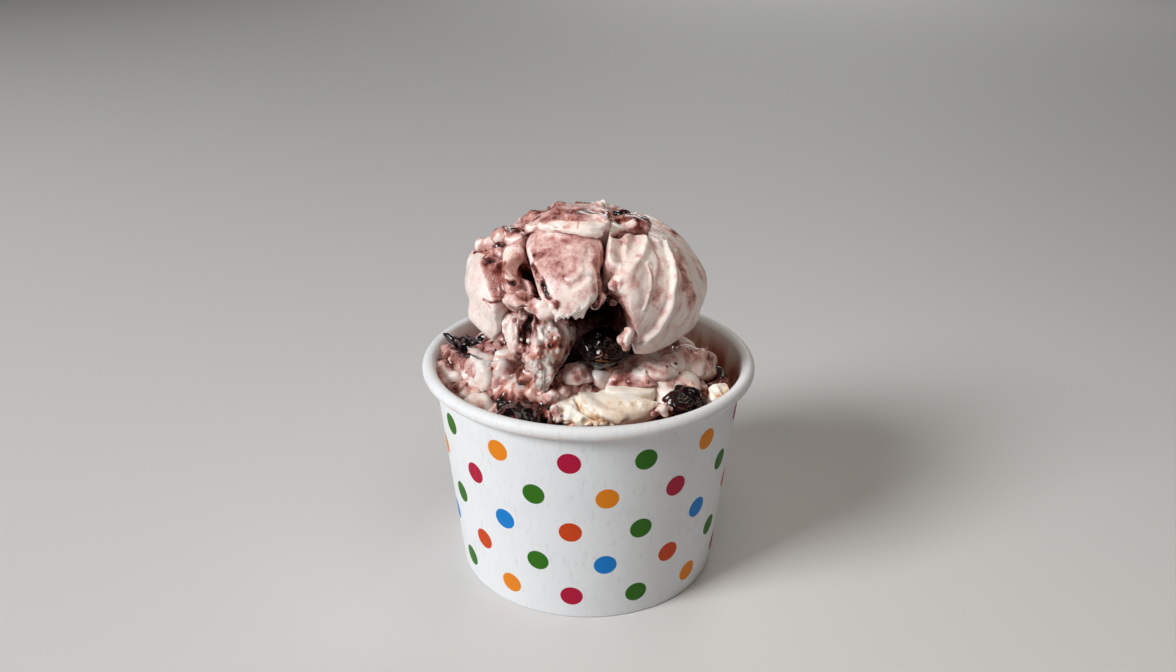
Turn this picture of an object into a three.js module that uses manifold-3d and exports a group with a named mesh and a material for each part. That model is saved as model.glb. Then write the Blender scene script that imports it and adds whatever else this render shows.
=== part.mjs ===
// A paper cup of rippled gelato: a rolled-rim paper cup, the gelato that fills it, one big folded scoop on
// top, a curl and a chip of plain cream gelato, and the pieces of black cherry that show.
//
// Millimetres, +Z up, origin at the middle of the ring that the cup stands on. The front is -Y, the right is
// +X. Azimuths are in degrees: 0 faces the front, and they grow towards the right.

import * as THREE from "three";
import { mergeVertices } from "three/addons/utils/BufferGeometryUtils.js";
import Module from "manifold-3d";

const wasm = await Module();
wasm.setup();

// ---------------------------------------------------------------- driving dimensions

// The cup
const RIM_DIAMETER = 96; // over the rolled rim
const BASE_DIAMETER = 76.8; // over the wall, at the table
const CUP_HEIGHT = 64.8; // table to the top of the rim
const BEAD_DIAMETER = 3.8; // thickness of the rolled rim
const PAPER = 0.5; // coated board of the wall
const FLOOR_PAPER = 0.4; // board of the cup's floor
const BASE_RECESS = 7; // table to the underside of the cup's floor
const FOOT_FOLD = 6.2; // height of the wall's turned-in edge
const FOOT_BEND = 0.4; // radius of the fold's two bends, at mid paper
const SKIRT_FOOT = 2.1; // table to the lower edge of the floor's skirt
const SKIRT_BEND = 1.1; // radius where the floor turns down into its skirt
const SEAM_WIDTH = 6; // lap of the side seam
const SEAM_FOOT = 2.5; // the lap runs from here up to the rolled rim
const GAP = 0.3; // clearance between pieces that touch
const ROUND_STEPS = 48; // facets round the cup

// The scoop
const SCOOP_CENTRE = new THREE.Vector3(-0.5, 0, 88);
const SCOOP_RADII = new THREE.Vector3(34.3, 30, 21);
const FOLDS = 18; // overlapping folds round its outside
const FOLD_DEPTH = 1.8; // from the valley of a fold to its crest
const FOLD_TWIST = 0.45; // how far the folds lean sideways, in degrees for each degree of height
const FOLD_CREST = 0.78; // share of a fold's width that climbs before it drops to the next
// The open front: its sides and top in degrees, how soft its edge is, and its depth as a share of the radius
const MOUTH = { left: -38, right: 16, top: 40, edge: 8, depth: 0.42 };
const STRIP_TILT = new THREE.Vector3(0, -1, 0.25); // the way that the front strips face

// The gelato that fills the cup
const FILL_EDGE = 55.2; // its level at the cup's wall
const FILL_HEAP = 13.2; // rise of the heap that carries the scoop
const HEAP_TOP_R = 17; // the heap is level out to here
const HEAP_FOOT_R = 42; // and has run out here
const FILL_LEAN = 2.8; // the left side stands higher than the right by twice this
const FILL_GRID = { around: 36, across: 9, down: 3 };

const MOUNDS = [
  { x: -35, y: -3, rise: 3, reach: 9 },
  { x: -24, y: -21, rise: 2.2, reach: 8 },
  { x: 31, y: 12, rise: 2.6, reach: 6 },
  { x: 20, y: -12, rise: 2.2, reach: 9 },
  { x: 34, y: -19, rise: 3.6, reach: 5 },
  { x: -8, y: 33, rise: 2, reach: 8 },
];

// Pieces that lie in or on the gelato: middle and radii of each lump
const CHERRIES = {
  cherry_front: { at: [4, -14.5, 72.6], radii: [7.6, 6.6, 5.8] },
  cherry_left: { at: [-19, -28, 56.6], radii: [7.4, 6.2, 5.6] },
  cherry_right: { at: [25.8, -19, 58], radii: [7, 6.2, 5.6] },
};
const STALK_DIMPLE = { depth: 0.16, elevation: 62 }; // share of the radius, and where it starts
const STONED_FLAT = 0.04; // how far a stoned cherry is out of round, as a share of its radius
const CREAM_CHIP = { at: [36.4, -17.6, 61.4], radii: [3, 2.9, 2.4] };

// ---------------------------------------------------------------- derived sizes

const BEAD_R = BEAD_DIAMETER / 2;
const CURL_R = BEAD_R - PAPER / 2; // radius of the rim's roll, at mid paper
const BEAD_CENTRE = new THREE.Vector2(RIM_DIAMETER / 2 - BEAD_R, CUP_HEIGHT - BEAD_R);
const WALL_FOOT_R = (BASE_DIAMETER - PAPER) / 2; // mid paper at the table
const WALL_LEAN = (BEAD_CENTRE.x - CURL_R - WALL_FOOT_R) / BEAD_CENTRE.y;
const FOLD_SPACE = PAPER + FLOOR_PAPER + 2 * GAP; // wall to its turned-in edge, mid paper to mid paper
const FLOOR_LEVEL = BASE_RECESS + FLOOR_PAPER / 2; // mid paper of the floor

const degrees = THREE.MathUtils.radToDeg;
const radians = THREE.MathUtils.degToRad;
const clamp = THREE.MathUtils.clamp;
const lerp = THREE.MathUtils.lerp;
const smooth = THREE.MathUtils.smoothstep;

// Mid-paper radius of the cup's wall at height z.
function wallRadius(z) {
  return WALL_FOOT_R + WALL_LEAN * z;
}

// ---------------------------------------------------------------- solids

// A closed geometry as a manifold-3d solid.
function solidOf(geometry) {
  const bare = geometry.index ? geometry.toNonIndexed() : geometry;
  bare.deleteAttribute("normal");
  bare.deleteAttribute("uv");
  const merged = mergeVertices(bare, 1e-4);
  return new wasm.Manifold(
    new wasm.Mesh({
      numProp: 3,
      vertProperties: new Float32Array(merged.attributes.position.array),
      triVerts: new Uint32Array(merged.index.array),
    }),
  );
}

// A manifold-3d solid as a geometry again.
function geometryOf(solid) {
  const mesh = solid.getMesh();
  const positions = new Float32Array(mesh.numVert * 3);
  for (let i = 0; i < mesh.numVert; i++) {
    positions.set(mesh.vertProperties.subarray(i * mesh.numProp, i * mesh.numProp + 3), i * 3);
  }
  const geometry = new THREE.BufferGeometry();
  geometry.setAttribute("position", new THREE.BufferAttribute(positions, 3));
  geometry.setIndex(new THREE.BufferAttribute(mesh.triVerts, 1));
  return geometry;
}

function join(geometries) {
  return geometries.map(solidOf).reduce((sum, next) => sum.add(next));
}

// The biggest of a solid's separate bodies, so that no loose sliver is kept.
function largest(solid) {
  return solid.decompose().sort((a, b) => b.volume() - a.volume())[0];
}

// Turns a closed outline of (radius, height) points about Z.
function turned(outline) {
  const closed = [...outline, outline[0].clone()];
  return new THREE.LatheGeometry(closed, ROUND_STEPS).rotateX(Math.PI / 2);
}

// The outline of paper that follows a mid-paper line of (radius, height) points, mitred at its corners.
function paperOutline(line, thickness) {
  const sideways = line.slice(1).map((point, i) => {
    const along = point.clone().sub(line[i]).normalize();
    return new THREE.Vector2(-along.y, along.x);
  });
  const side = (sign) =>
    line.map((point, i) => {
      const before = sideways[Math.max(i - 1, 0)];
      const after = sideways[Math.min(i, sideways.length - 1)];
      const mitre = before.clone().add(after).divideScalar(1 + before.dot(after));
      return point.clone().addScaledVector(mitre, (sign * thickness) / 2);
    });
  return [...side(-1), ...side(1).reverse()];
}

// Points of an arc in the (radius, height) plane, in degrees.
function arc(centre, radius, from, to, steps) {
  return Array.from({ length: steps + 1 }, (_, i) => {
    const a = radians(lerp(from, to, i / steps));
    return new THREE.Vector2(centre.x + radius * Math.cos(a), centre.y + radius * Math.sin(a));
  });
}

// A closed skin over rings of points, with a fan at each end.
function skinned(rings) {
  const around = rings[0].length;
  const middle = (ring) =>
    ring.reduce((sum, p) => sum.add(p), new THREE.Vector3()).divideScalar(ring.length);
  const points = [...rings.flat(), middle(rings[0]), middle(rings.at(-1))];
  const index = [];
  for (let j = 0; j + 1 < rings.length; j++) {
    for (let i = 0; i < around; i++) {
      const a = j * around + i;
      const b = j * around + ((i + 1) % around);
      index.push(a, b, b + around, a, b + around, a + around);
    }
  }
  const first = rings.length * around;
  const top = (rings.length - 1) * around;
  for (let i = 0; i < around; i++) {
    const next = (i + 1) % around;
    index.push(first, next, i, first + 1, top + i, top + next);
  }
  return new THREE.BufferGeometry().setFromPoints(points).setIndex(index);
}

// A ball whose radius along each direction is a function of its azimuth and elevation, and that can be grown
// by a margin all over.
function lump({ at, radii, relief = () => 1, across = 12, down = 8 }, grow = 0) {
  const ball = new THREE.SphereGeometry(1, across, down).rotateX(Math.PI / 2);
  const centre = new THREE.Vector3(...at);
  const size = new THREE.Vector3(...radii);
  const places = ball.attributes.position;
  const out = new THREE.Vector3();
  for (let i = 0; i < places.count; i++) {
    out.fromBufferAttribute(places, i).normalize();
    const atPole = Math.abs(out.z) > 0.9999;
    const azimuth = atPole ? 0 : degrees(Math.atan2(out.x, -out.y));
    const elevation = degrees(Math.asin(clamp(out.z, -1, 1)));
    const place = out.clone().multiply(size).multiplyScalar(relief(azimuth, elevation));
    place.addScaledVector(out, grow).add(centre);
    places.setXYZ(i, place.x, place.y, place.z);
  }
  return ball;
}

// One coordinate of a rounded rectangle, from the cosine or sine of the angle round it.
function squared(turn) {
  return Math.sign(turn) * Math.abs(turn) ** 0.7;
}

// A soft strip laid along a path, its faces turned to `outward`. Its width and thickness change evenly from
// one end to the other, bulging by `swell` in the middle, and both ends are rounded.
function strip({ path, width, thickness, outward, swell = 0, steps = 8, around = 10 }, grow = 0) {
  const curve = new THREE.CatmullRomCurve3(path);
  const ring = (t) => {
    const end = Math.sqrt(1 - (2 * clamp(t, 0.02, 0.98) - 1) ** 6);
    const along = curve.getTangentAt(t);
    const across = along.clone().cross(outward).normalize();
    const up = across.clone().cross(along).normalize();
    const halfWidth = (lerp(...width, t) + swell * Math.sin(Math.PI * t)) / 2 + grow;
    const halfThickness = lerp(...thickness, t) / 2 + grow;
    return Array.from({ length: around }, (_, i) => {
      const a = (2 * Math.PI * i) / around;
      return curve
        .getPointAt(t)
        .addScaledVector(across, halfWidth * end * squared(Math.cos(a)))
        .addScaledVector(up, -halfThickness * end * squared(Math.sin(a)));
    });
  };
  return skinned(Array.from({ length: steps + 1 }, (_, j) => ring(j / steps)));
}

// ---------------------------------------------------------------- paper cup

// The wall's mid-paper line: down the turned-in edge, round the foot and up to the rolled rim.
function wallLine() {
  const inner = WALL_FOOT_R - FOLD_SPACE;
  const bendLevel = PAPER / 2 + FOOT_BEND;
  return [
    new THREE.Vector2(inner + WALL_LEAN * FOOT_FOLD, FOOT_FOLD),
    ...arc(new THREE.Vector2(inner + FOOT_BEND, bendLevel), FOOT_BEND, 180, 270, 2),
    ...arc(new THREE.Vector2(WALL_FOOT_R - FOOT_BEND, bendLevel), FOOT_BEND, 270, 360, 2),
    ...arc(BEAD_CENTRE, CURL_R, 174, -112, 7),
  ];
}

// The second layer of board where the two ends of the wall lap, up the middle of the back.
function seamLap() {
  const half = degrees(SEAM_WIDTH / 2 / wallRadius(CUP_HEIGHT / 2));
  const out = PAPER * 0.9;
  const corners = [
    [180 - half, out],
    [180, out],
    [180 + half, out],
    [180 + half, 0],
    [180 - half, 0],
  ];
  const ring = (z) =>
    corners.map(([azimuth, raise]) => {
      const r = wallRadius(z) + raise;
      const a = radians(azimuth);
      return new THREE.Vector3(r * Math.sin(a), -r * Math.cos(a), z);
    });
  return skinned([ring(SEAM_FOOT), ring(BEAD_CENTRE.y - BEAD_R)]);
}

// One blank of printed board: turned in at the foot, lapped at the back and rolled outwards at the rim.
function cupWall() {
  return geometryOf(join([turned(paperOutline(wallLine(), PAPER)), seamLap()]));
}

// The cup's floor: a disc whose skirt turns down between the wall and its folded edge.
function cupBase() {
  const inset = FOLD_SPACE / 2;
  const bendLevel = FLOOR_LEVEL - SKIRT_BEND;
  const bend = new THREE.Vector2(wallRadius(bendLevel) - inset - SKIRT_BEND, bendLevel);
  const line = [
    new THREE.Vector2(wallRadius(SKIRT_FOOT) - inset, SKIRT_FOOT),
    ...arc(bend, SKIRT_BEND, 0, 90, 2),
    new THREE.Vector2(0, FLOOR_LEVEL),
  ];
  return turned(paperOutline(line, FLOOR_PAPER));
}

// ---------------------------------------------------------------- scoop

// How far inside the scoop's open front a direction lies, from 0 to 1.
function mouth(azimuth, elevation) {
  const left = smooth(azimuth, MOUTH.left - MOUTH.edge, MOUTH.left + MOUTH.edge);
  const right = 1 - smooth(azimuth, MOUTH.right - MOUTH.edge, MOUTH.right + MOUTH.edge);
  const top = 1 - smooth(elevation, MOUTH.top - MOUTH.edge, MOUTH.top + MOUTH.edge);
  return left * right * top;
}

// Height of the folds, from -1 to 1: each climbs slowly and drops to the next, and all fade to the poles.
// They lean towards the front as they go down.
function folds(azimuth, elevation) {
  const lean = FOLD_TWIST * elevation * Math.sin(radians(azimuth));
  const phase = ((azimuth - lean) * FOLDS) / 360;
  const share = phase - Math.floor(phase);
  const wave = share < FOLD_CREST ? share / FOLD_CREST : (1 - share) / (1 - FOLD_CREST);
  return (2 * wave - 1) * Math.cos(radians(elevation));
}

function shellRelief(azimuth, elevation) {
  const crest = (FOLD_DEPTH / 2 / SCOOP_RADII.x) * folds(azimuth, elevation);
  return 1 + crest - MOUTH.depth * mouth(azimuth, elevation);
}

// A point over the scoop's ellipsoid, raised or sunk by some millimetres.
function overScoop(azimuth, elevation, raise) {
  const a = radians(azimuth);
  const e = radians(elevation);
  const out = new THREE.Vector3(Math.cos(e) * Math.sin(a), -Math.cos(e) * Math.cos(a), Math.sin(e));
  return out.clone().multiply(SCOOP_RADII).addScaledVector(out, raise).add(SCOOP_CENTRE);
}

// The folded shell that makes up most of the scoop.
const SHELL = {
  at: SCOOP_CENTRE.toArray(),
  radii: SCOOP_RADII.toArray(),
  relief: shellRelief,
  across: 54,
  down: 16,
};

// The tongue rolled over the open front.
const TONGUE = {
  path: [overScoop(-22, 72, -3), overScoop(-12, 53, -3), overScoop(-8, 28, -3), overScoop(-7, 6, -3.4)],
  width: [23, 15],
  thickness: [8, 8],
  outward: STRIP_TILT,
  around: 12,
};

// The narrow slab to the left of the tongue.
const SLAB = {
  path: [overScoop(-55, 52, -3), overScoop(-42, 34, -3.5), overScoop(-37, 14, -4)],
  width: [8, 7],
  thickness: [8, 8],
  outward: STRIP_TILT,
  steps: 6,
  around: 8,
};

// The torn crumble that hangs from the lower left of the open front down to the heap.
const CRUMBLE = {
  path: [overScoop(-27, 2, -5), overScoop(-25, -18, -4.5), overScoop(-26, -43, 2), overScoop(-25, -52, 5)],
  width: [20, 8],
  thickness: [12, 7],
  outward: STRIP_TILT,
};

const CAP = { at: [-5, -1.5, 103.5], radii: [16, 12.5, 5.6], across: 16 };
const HUMP = { at: [12, -1, 104.6], radii: [8, 7.5, 3.8] };

function scoopPieces(grow) {
  return [
    lump(SHELL, grow),
    strip(TONGUE, grow),
    strip(SLAB, grow),
    strip(CRUMBLE, grow),
    lump(CAP, grow),
    lump(HUMP, grow),
  ];
}

// ---------------------------------------------------------------- fruit, curl and chip

// A steeped cherry: a ball with the dimple of its stalk, a little out of round where its stone came out.
function cherry({ at, radii }, grow) {
  const relief = (azimuth, elevation) => {
    const dimple = STALK_DIMPLE.depth * smooth(elevation, STALK_DIMPLE.elevation, 90);
    return 1 - dimple + STONED_FLAT * Math.cos(radians(2 * azimuth + elevation));
  };
  return lump({ at, radii, relief }, grow);
}

// A torn piece of cherry skin that leans on the wall at the left.
const CHERRY_SKIN = {
  path: [
    new THREE.Vector3(-43.6, 12.4, 66.6),
    new THREE.Vector3(-38.6, 10.8, 63.4),
    new THREE.Vector3(-32.5, 9.2, 63),
    new THREE.Vector3(-25.6, 7.6, 64.4),
  ],
  width: [4, 4],
  swell: 5,
  thickness: [2.2, 2.2],
  outward: new THREE.Vector3(0, -0.4, 1),
  around: 8,
};

// The curl of plain gelato along the front, its right end dragged out to a ledge.
const CREAM_CURL = {
  path: [
    new THREE.Vector3(-6.4, -22.5, 60.4),
    new THREE.Vector3(0, -28.4, 58.9),
    new THREE.Vector3(9, -29.6, 58.8),
    new THREE.Vector3(18.6, -25, 59.2),
  ],
  width: [7.5, 11],
  thickness: [5.5, 7],
  outward: new THREE.Vector3(0, -0.5, 1),
};

// ---------------------------------------------------------------- fill

// Level of the gelato in the cup: a heap with mounds, lower where it meets the wall.
function fillTop(x, y) {
  const heap = FILL_HEAP * (1 - smooth(Math.hypot(x, y), HEAP_TOP_R, HEAP_FOOT_R));
  const lean = (-FILL_LEAN * x) / wallRadius(FILL_EDGE);
  const mound = (m) => m.rise * Math.exp(-((x - m.x) ** 2 + (y - m.y) ** 2) / m.reach ** 2);
  return MOUNDS.reduce((sum, m) => sum + mound(m), FILL_EDGE + heap + lean);
}

// The gelato from just over the cup's floor to the heap's uneven top, before anything is sunk in it.
function fillBlank({ around, across, down }) {
  const inset = PAPER / 2 + GAP;
  const bottom = BASE_RECESS + FLOOR_PAPER + GAP;
  const edge = wallRadius(FILL_EDGE) - inset;
  const ring = (share, level) =>
    Array.from({ length: around }, (_, i) => {
      const a = (2 * Math.PI * i) / around;
      const z = level(edge * share * Math.sin(a), -edge * share * Math.cos(a));
      const r = share * (wallRadius(z) - inset);
      return new THREE.Vector3(r * Math.sin(a), -r * Math.cos(a), z);
    });
  const side = (share) => ring(1, (x, y) => lerp(bottom, fillTop(x, y), share));
  const sides = Array.from({ length: down }, (_, j) => side(j / down));
  const top = Array.from({ length: across }, (_, j) => ring(1 - j / across, fillTop));
  return skinned([...sides, ...top]);
}

// The fill is cut round everything that sits in it.
function gelatoFill() {
  const margin = GAP * 2;
  const sunk = [
    ...scoopPieces(margin),
    strip(CREAM_CURL, margin),
    strip(CHERRY_SKIN, margin),
    lump(CREAM_CHIP, margin),
    ...Object.values(CHERRIES).map((fruit) => cherry(fruit, margin)),
  ];
  const cut = sunk.reduce((left, piece) => left.subtract(solidOf(piece)), solidOf(fillBlank(FILL_GRID)));
  return geometryOf(largest(cut));
}

// The scoop's folds as one body, cut round the cherry that sits in its open front.
function gelatoScoop() {
  const seat = solidOf(cherry(CHERRIES.cherry_front, GAP * 2));
  return geometryOf(largest(join(scoopPieces(0)).subtract(seat)));
}

// ---------------------------------------------------------------- the whole

const MATERIALS = {
  board: new THREE.MeshStandardMaterial({ color: 0xf1f2f3, roughness: 0.55 }),
  cream: new THREE.MeshStandardMaterial({ color: 0xf3e6d8, roughness: 0.45 }),
  ripple: new THREE.MeshStandardMaterial({ color: 0xc79390, roughness: 0.45 }),
  fruit: new THREE.MeshStandardMaterial({ color: 0x1c0a0c, roughness: 0.12 }),
};

const cup = new THREE.Group();

function add(name, geometry, material) {
  const mesh = new THREE.Mesh(geometry, material);
  mesh.name = name;
  cup.add(mesh);
}

add("cup_wall", cupWall(), MATERIALS.board);
add("cup_base", cupBase(), MATERIALS.board);
add("gelato_fill", gelatoFill(), MATERIALS.ripple);
add("gelato_scoop", gelatoScoop(), MATERIALS.ripple);
add("cream_curl", strip(CREAM_CURL), MATERIALS.cream);
add("cream_chip", lump(CREAM_CHIP), MATERIALS.cream);
add("cherry_skin", strip(CHERRY_SKIN), MATERIALS.fruit);
for (const [name, fruit] of Object.entries(CHERRIES)) {
  add(name, cherry(fruit, 0), MATERIALS.fruit);
}

export default cup;
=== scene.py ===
"""A paper cup of cherry-ripple gelato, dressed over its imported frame.

The frame gives the cup, the gelato, the scoop, the curl and the cherries as solids at their real size. Each
sub-assembly of the dessert is a class, which works its surfaces out with numpy, in millimetres, and dresses
them with procedural materials. Azimuths are in degrees: 0 faces the front, which is -Y, and they grow towards
the right, +X. Marks on the gelato are placed as they are seen in the camera's frame, 1176 wide and 672 high,
and lie on the skin.
"""

import logging
import math
from dataclasses import dataclass, field
from enum import Enum
from functools import cached_property
from itertools import product
from typing import Any, Iterable, Sequence

import bpy
import numpy as np
from mathutils import Matrix, Vector


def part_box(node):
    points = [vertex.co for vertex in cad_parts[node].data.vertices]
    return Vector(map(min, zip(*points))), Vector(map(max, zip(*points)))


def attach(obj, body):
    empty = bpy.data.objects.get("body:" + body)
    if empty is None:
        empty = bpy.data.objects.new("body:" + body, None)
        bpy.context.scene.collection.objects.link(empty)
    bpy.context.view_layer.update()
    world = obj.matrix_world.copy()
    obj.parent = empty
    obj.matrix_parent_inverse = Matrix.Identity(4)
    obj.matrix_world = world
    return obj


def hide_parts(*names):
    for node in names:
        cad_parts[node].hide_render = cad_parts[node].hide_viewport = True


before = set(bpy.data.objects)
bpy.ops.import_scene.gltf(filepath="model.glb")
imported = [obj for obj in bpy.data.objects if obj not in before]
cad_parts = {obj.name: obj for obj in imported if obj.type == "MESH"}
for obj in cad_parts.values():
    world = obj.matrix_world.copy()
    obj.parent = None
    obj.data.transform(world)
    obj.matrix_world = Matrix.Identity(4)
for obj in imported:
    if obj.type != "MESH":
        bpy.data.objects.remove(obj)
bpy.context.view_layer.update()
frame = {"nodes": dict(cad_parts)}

log = logging.getLogger("gelato_cup")

Array = np.ndarray
Point = tuple[float, float, float]
Colour = tuple[float, float, float, float]

MM = 0.001  # metres in a millimetre
BODY = "root"  # the one body that every piece rides on

SPOT_PIXELS = 2.0  # how far off its place in the frame a spot may be
SPOT_COST = 40.0  # mm of depth that each pixel more is worth
PIXELS_A_MM = 5.0  # more than a mm of the dessert takes up in the frame
TURNED_AWAY = (-0.4, -0.2)  # how far skin may face away for an area mark, from none of it to all

# the first seed of each set of chunks: the fill's front, the scoop's, the fill's back and the scoop's seats
FRONT_SEED, SCOOP_SEED, BACK_SEED, SEAT_SEED = 200, 300, 400, 600


class Slot(Enum):
    """The record's material slots."""

    BOARD = "cup_board"
    RIPPLE = "gelato_ripple"
    CREAM = "gelato_cream"
    CHERRY = "cherry"


# ---------------------------------------------------------------- sums on arrays


def smooth(value: Array, low: float, high: float) -> Array:
    """Goes from 0 at low to 1 at high along an S curve."""
    share = np.clip((value - low) / (high - low), 0.0, 1.0)
    return share * share * (3.0 - 2.0 * share)


def blend(start: Any, end: Any, share: Any) -> Any:
    """The mix of two values, a share of the way from start to end."""
    return start + (end - start) * share


def length(vectors: Array) -> Array:
    """Length of each vector in the last axis."""
    return np.sqrt(np.einsum("...k,...k", vectors, vectors))


def unit(vectors: Array) -> Array:
    """Each vector in the last axis at length 1."""
    return vectors / (length(vectors)[..., None] + 1e-12)


def toward(azimuth: Any, elevation: Any) -> Array:
    """Unit vectors that point along azimuths and elevations in degrees."""
    a, e = np.radians(azimuth), np.radians(elevation)
    return np.stack([np.cos(e) * np.sin(a), -np.cos(e) * np.cos(a), np.sin(e) + 0.0 * a], axis=-1)


def curve_at(corners: Any, share: Array) -> Array:
    """Values on a smooth curve through corners: a Catmull-Rom cubic between each two neighbours.

    Args:
        corners: What the curve passes: points one to a row, or plain numbers.
        share: Places along it, from 0 to 1.

    Returns:
        One point or number for each share.
    """
    known = np.asarray(corners, float)
    table = known.reshape(len(known), -1)
    ends = np.vstack([2 * table[0] - table[1], table, 2 * table[-1] - table[-2]])
    place = np.clip(share, 0.0, 1.0) * (len(table) - 1)
    first = np.minimum(place.astype(int), len(table) - 2)
    t = (place - first)[:, None]
    a, b, c, d = (ends[first + k] for k in range(4))
    found = b + 0.5 * t * (c - a + t * (2 * a - 5 * b + 4 * c - d + t * (3 * (b - c) + d - a)))
    return found.reshape((len(share), *known.shape[1:]))


def near_line(points: Array, line: Array, out: Array) -> tuple[Array, Array]:
    """How far points are from a broken line, and on which side of it.

    Args:
        points: Places, one to a row.
        line: The line's corners, one to a row, two or more.
        out: Outward directions at the points.

    Returns:
        The distances, and True where a point is on the right of the way the line runs, seen from outside.
    """
    best = np.full(len(points), np.inf)
    right = np.zeros(len(points), dtype=bool)
    for start, end in zip(line[:-1], line[1:]):
        run = end - start
        share = np.clip((points - start) @ run / (run @ run + 1e-9), 0.0, 1.0)
        off = points - start - share[:, None] * run
        far = length(off)
        closer = far < best
        side = np.einsum("ij,ij->i", off, np.cross(run, out)) > 0
        best = np.where(closer, far, best)
        right = np.where(closer, side, right)
    return best, right


def depth_in(points: Array, outline: Array) -> Array:
    """How far flat points lie inside a closed outline, below 0 for points outside it.

    Args:
        points: Places, x and y in a row.
        outline: The outline's corners, one to a row.

    Returns:
        The distances to the outline.
    """
    gap = np.full(len(points), np.inf)
    inside = np.zeros(len(points), dtype=bool)
    for start, end in zip(outline, np.roll(outline, -1, axis=0)):
        run = end - start
        share = np.clip((points - start) @ run / (run @ run + 1e-9), 0.0, 1.0)
        gap = np.minimum(gap, length(points - start - share[:, None] * run))
        level = (points[:, 1] - start[1]) / (run[1] or 1e-9)
        inside ^= (level >= 0) & (level < 1) & (points[:, 0] < start[0] + run[0] * level)
    return np.where(inside, gap, -gap)


@dataclass(frozen=True)
class Noise:
    """Seeded noise in space, for shapes and for smears.

    Attributes:
        seed: Picks the random lattice.
        size: Number of different picks.
    """

    seed: int
    size: int = 1024

    @cached_property
    def order(self) -> Array:
        """A shuffled table that turns lattice places into random picks."""
        return np.random.default_rng(self.seed).permutation(self.size)

    @cached_property
    def slopes(self) -> Array:
        """Random unit slopes, one for each pick."""
        return unit(np.random.default_rng(self.seed + 1).normal(size=(self.size, 3)))

    @cached_property
    def spots(self) -> Array:
        """Random places inside a lattice cell, one for each pick."""
        return np.random.default_rng(self.seed + 2).random((self.size, 3))

    def pick(self, cell: Array) -> Array:
        """The random pick of each lattice cell."""
        x, y, z = (cell[..., k] % self.size for k in range(3))
        return self.order[(self.order[(self.order[x] + y) % self.size] + z) % self.size]

    def swell(self, points: Array, size: float) -> Array:
        """Smooth noise from about -1 to 1: lattice slopes, blended by a quintic.

        Args:
            points: Places in mm.
            size: Distance between lattice points, in mm.

        Returns:
            The noise at each place.
        """
        place = points / size
        cell = np.floor(place).astype(int)
        inside = place - cell
        ease = inside**3 * (inside * (inside * 6 - 15) + 10)
        total = np.zeros(points.shape[:-1])
        for corner in product((0, 1), repeat=3):
            slope = self.slopes[self.pick(cell + corner)]
            weight = np.prod(np.where(corner, ease, 1 - ease), axis=-1)
            total += weight * np.einsum("...k,...k", slope, inside - corner)
        return total * 1.7

    def fractal(self, points: Array, size: float, octaves: int, gain: float = 0.5) -> Array:
        """Sum of swells, each half the size of the last and gain times as strong."""
        parts = [gain**k * self.swell(points + 7.3 * k, size / 2**k) for k in range(octaves)]
        return np.sum(parts, axis=0)

    def shift(self, points: Array, size: float) -> Array:
        """A random vector at each place, for bending what is drawn there."""
        parts = [self.fractal(points + 31.0 * (k + 1), size, 2) for k in range(3)]
        return np.stack(parts, axis=-1)

    def crumbs(self, points: Array, size: float) -> Array:
        """Round crumbs side by side: 1 on each one's top, 0 in the cracks between.

        It comes from the distances to the nearest and second-nearest of spots scattered one to a cell.

        Args:
            points: Places in mm.
            size: Mean distance between crumbs, in mm.

        Returns:
            The value at each place.
        """
        place = points / size
        cell = np.floor(place).astype(int)
        nearest = np.full(points.shape[:-1], 9.0)
        second = nearest.copy()
        for corner in product((-1, 0, 1), repeat=3):
            there = cell + corner
            gap = length(there + self.spots[self.pick(there)] - place)
            second = np.minimum(second, np.maximum(nearest, gap))
            nearest = np.minimum(nearest, gap)
        return smooth(second - nearest, 0.0, 0.5)

    def veins(self, points: Array, size: float, thin: float) -> Array:
        """Thin wandering veins: 1 where a fractal passes zero, fading over thin."""
        return 1.0 - smooth(np.abs(self.fractal(points, size, 3)), 0.0, thin)


# ---------------------------------------------------------------- the camera's line of sight


@dataclass(frozen=True)
class Sight:
    """Where the camera stands and what it sees, for the camera and for placing marks.

    Attributes:
        eye: The camera's place, in mm.
        pitch: How far it looks down, in degrees.
        yaw: How far it turns to the right, in degrees.
        roll: How far it leans, in degrees.
        focal: Its focal length, in frame pixels.
        frame: The frame's width and height, in pixels.
    """

    eye: Point = (0.0, -276.205, 188.148)
    pitch: float = 23.17
    yaw: float = -0.04
    roll: float = 0.29
    focal: float = 1038.96
    frame: tuple[float, float] = (1176.0, 672.0)

    @cached_property
    def axes(self) -> Array:
        """Unit vectors to the right of the frame, up it and into it, one to a row."""
        pitch, yaw, roll = np.radians([self.pitch, self.yaw, self.roll])
        into = np.array([math.sin(yaw) * math.cos(pitch), math.cos(yaw) * math.cos(pitch), -math.sin(pitch)])
        right = unit(np.cross(into, [0.0, 0.0, 1.0]))
        up = np.cross(right, into)
        c, s = math.cos(roll), math.sin(roll)
        return np.stack([c * right + s * up, c * up - s * right, into])

    def seen(self, points: Array) -> Array:
        """Places of points in the frame, x and y in pixels, and their depth in mm."""
        across, up, depth = np.moveaxis((points - self.eye) @ self.axes.T, -1, 0)
        x = self.frame[0] / 2 + self.focal * across / depth
        y = self.frame[1] / 2 - self.focal * up / depth
        return np.stack([x, y, depth], axis=-1)

    def rays(self, spots: Any) -> Array:
        """Directions from the eye through frame places that are given one pair after the other."""
        x, y = np.reshape(np.asarray(spots, float), (-1, 2)).T
        right = (x - self.frame[0] / 2) / self.focal
        down = (y - self.frame[1] / 2) / self.focal
        return right[:, None] * self.axes[0] - down[:, None] * self.axes[1] + self.axes[2]

    def on_level(self, spots: Any, height: Any) -> Array:
        """Points at heights in mm, seen at frame places."""
        rays = self.rays(spots)
        return self.eye + rays * ((np.asarray(height) - self.eye[2]) / rays[:, 2])[:, None]


SIGHT = Sight()


# ---------------------------------------------------------------- meshes


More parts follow.
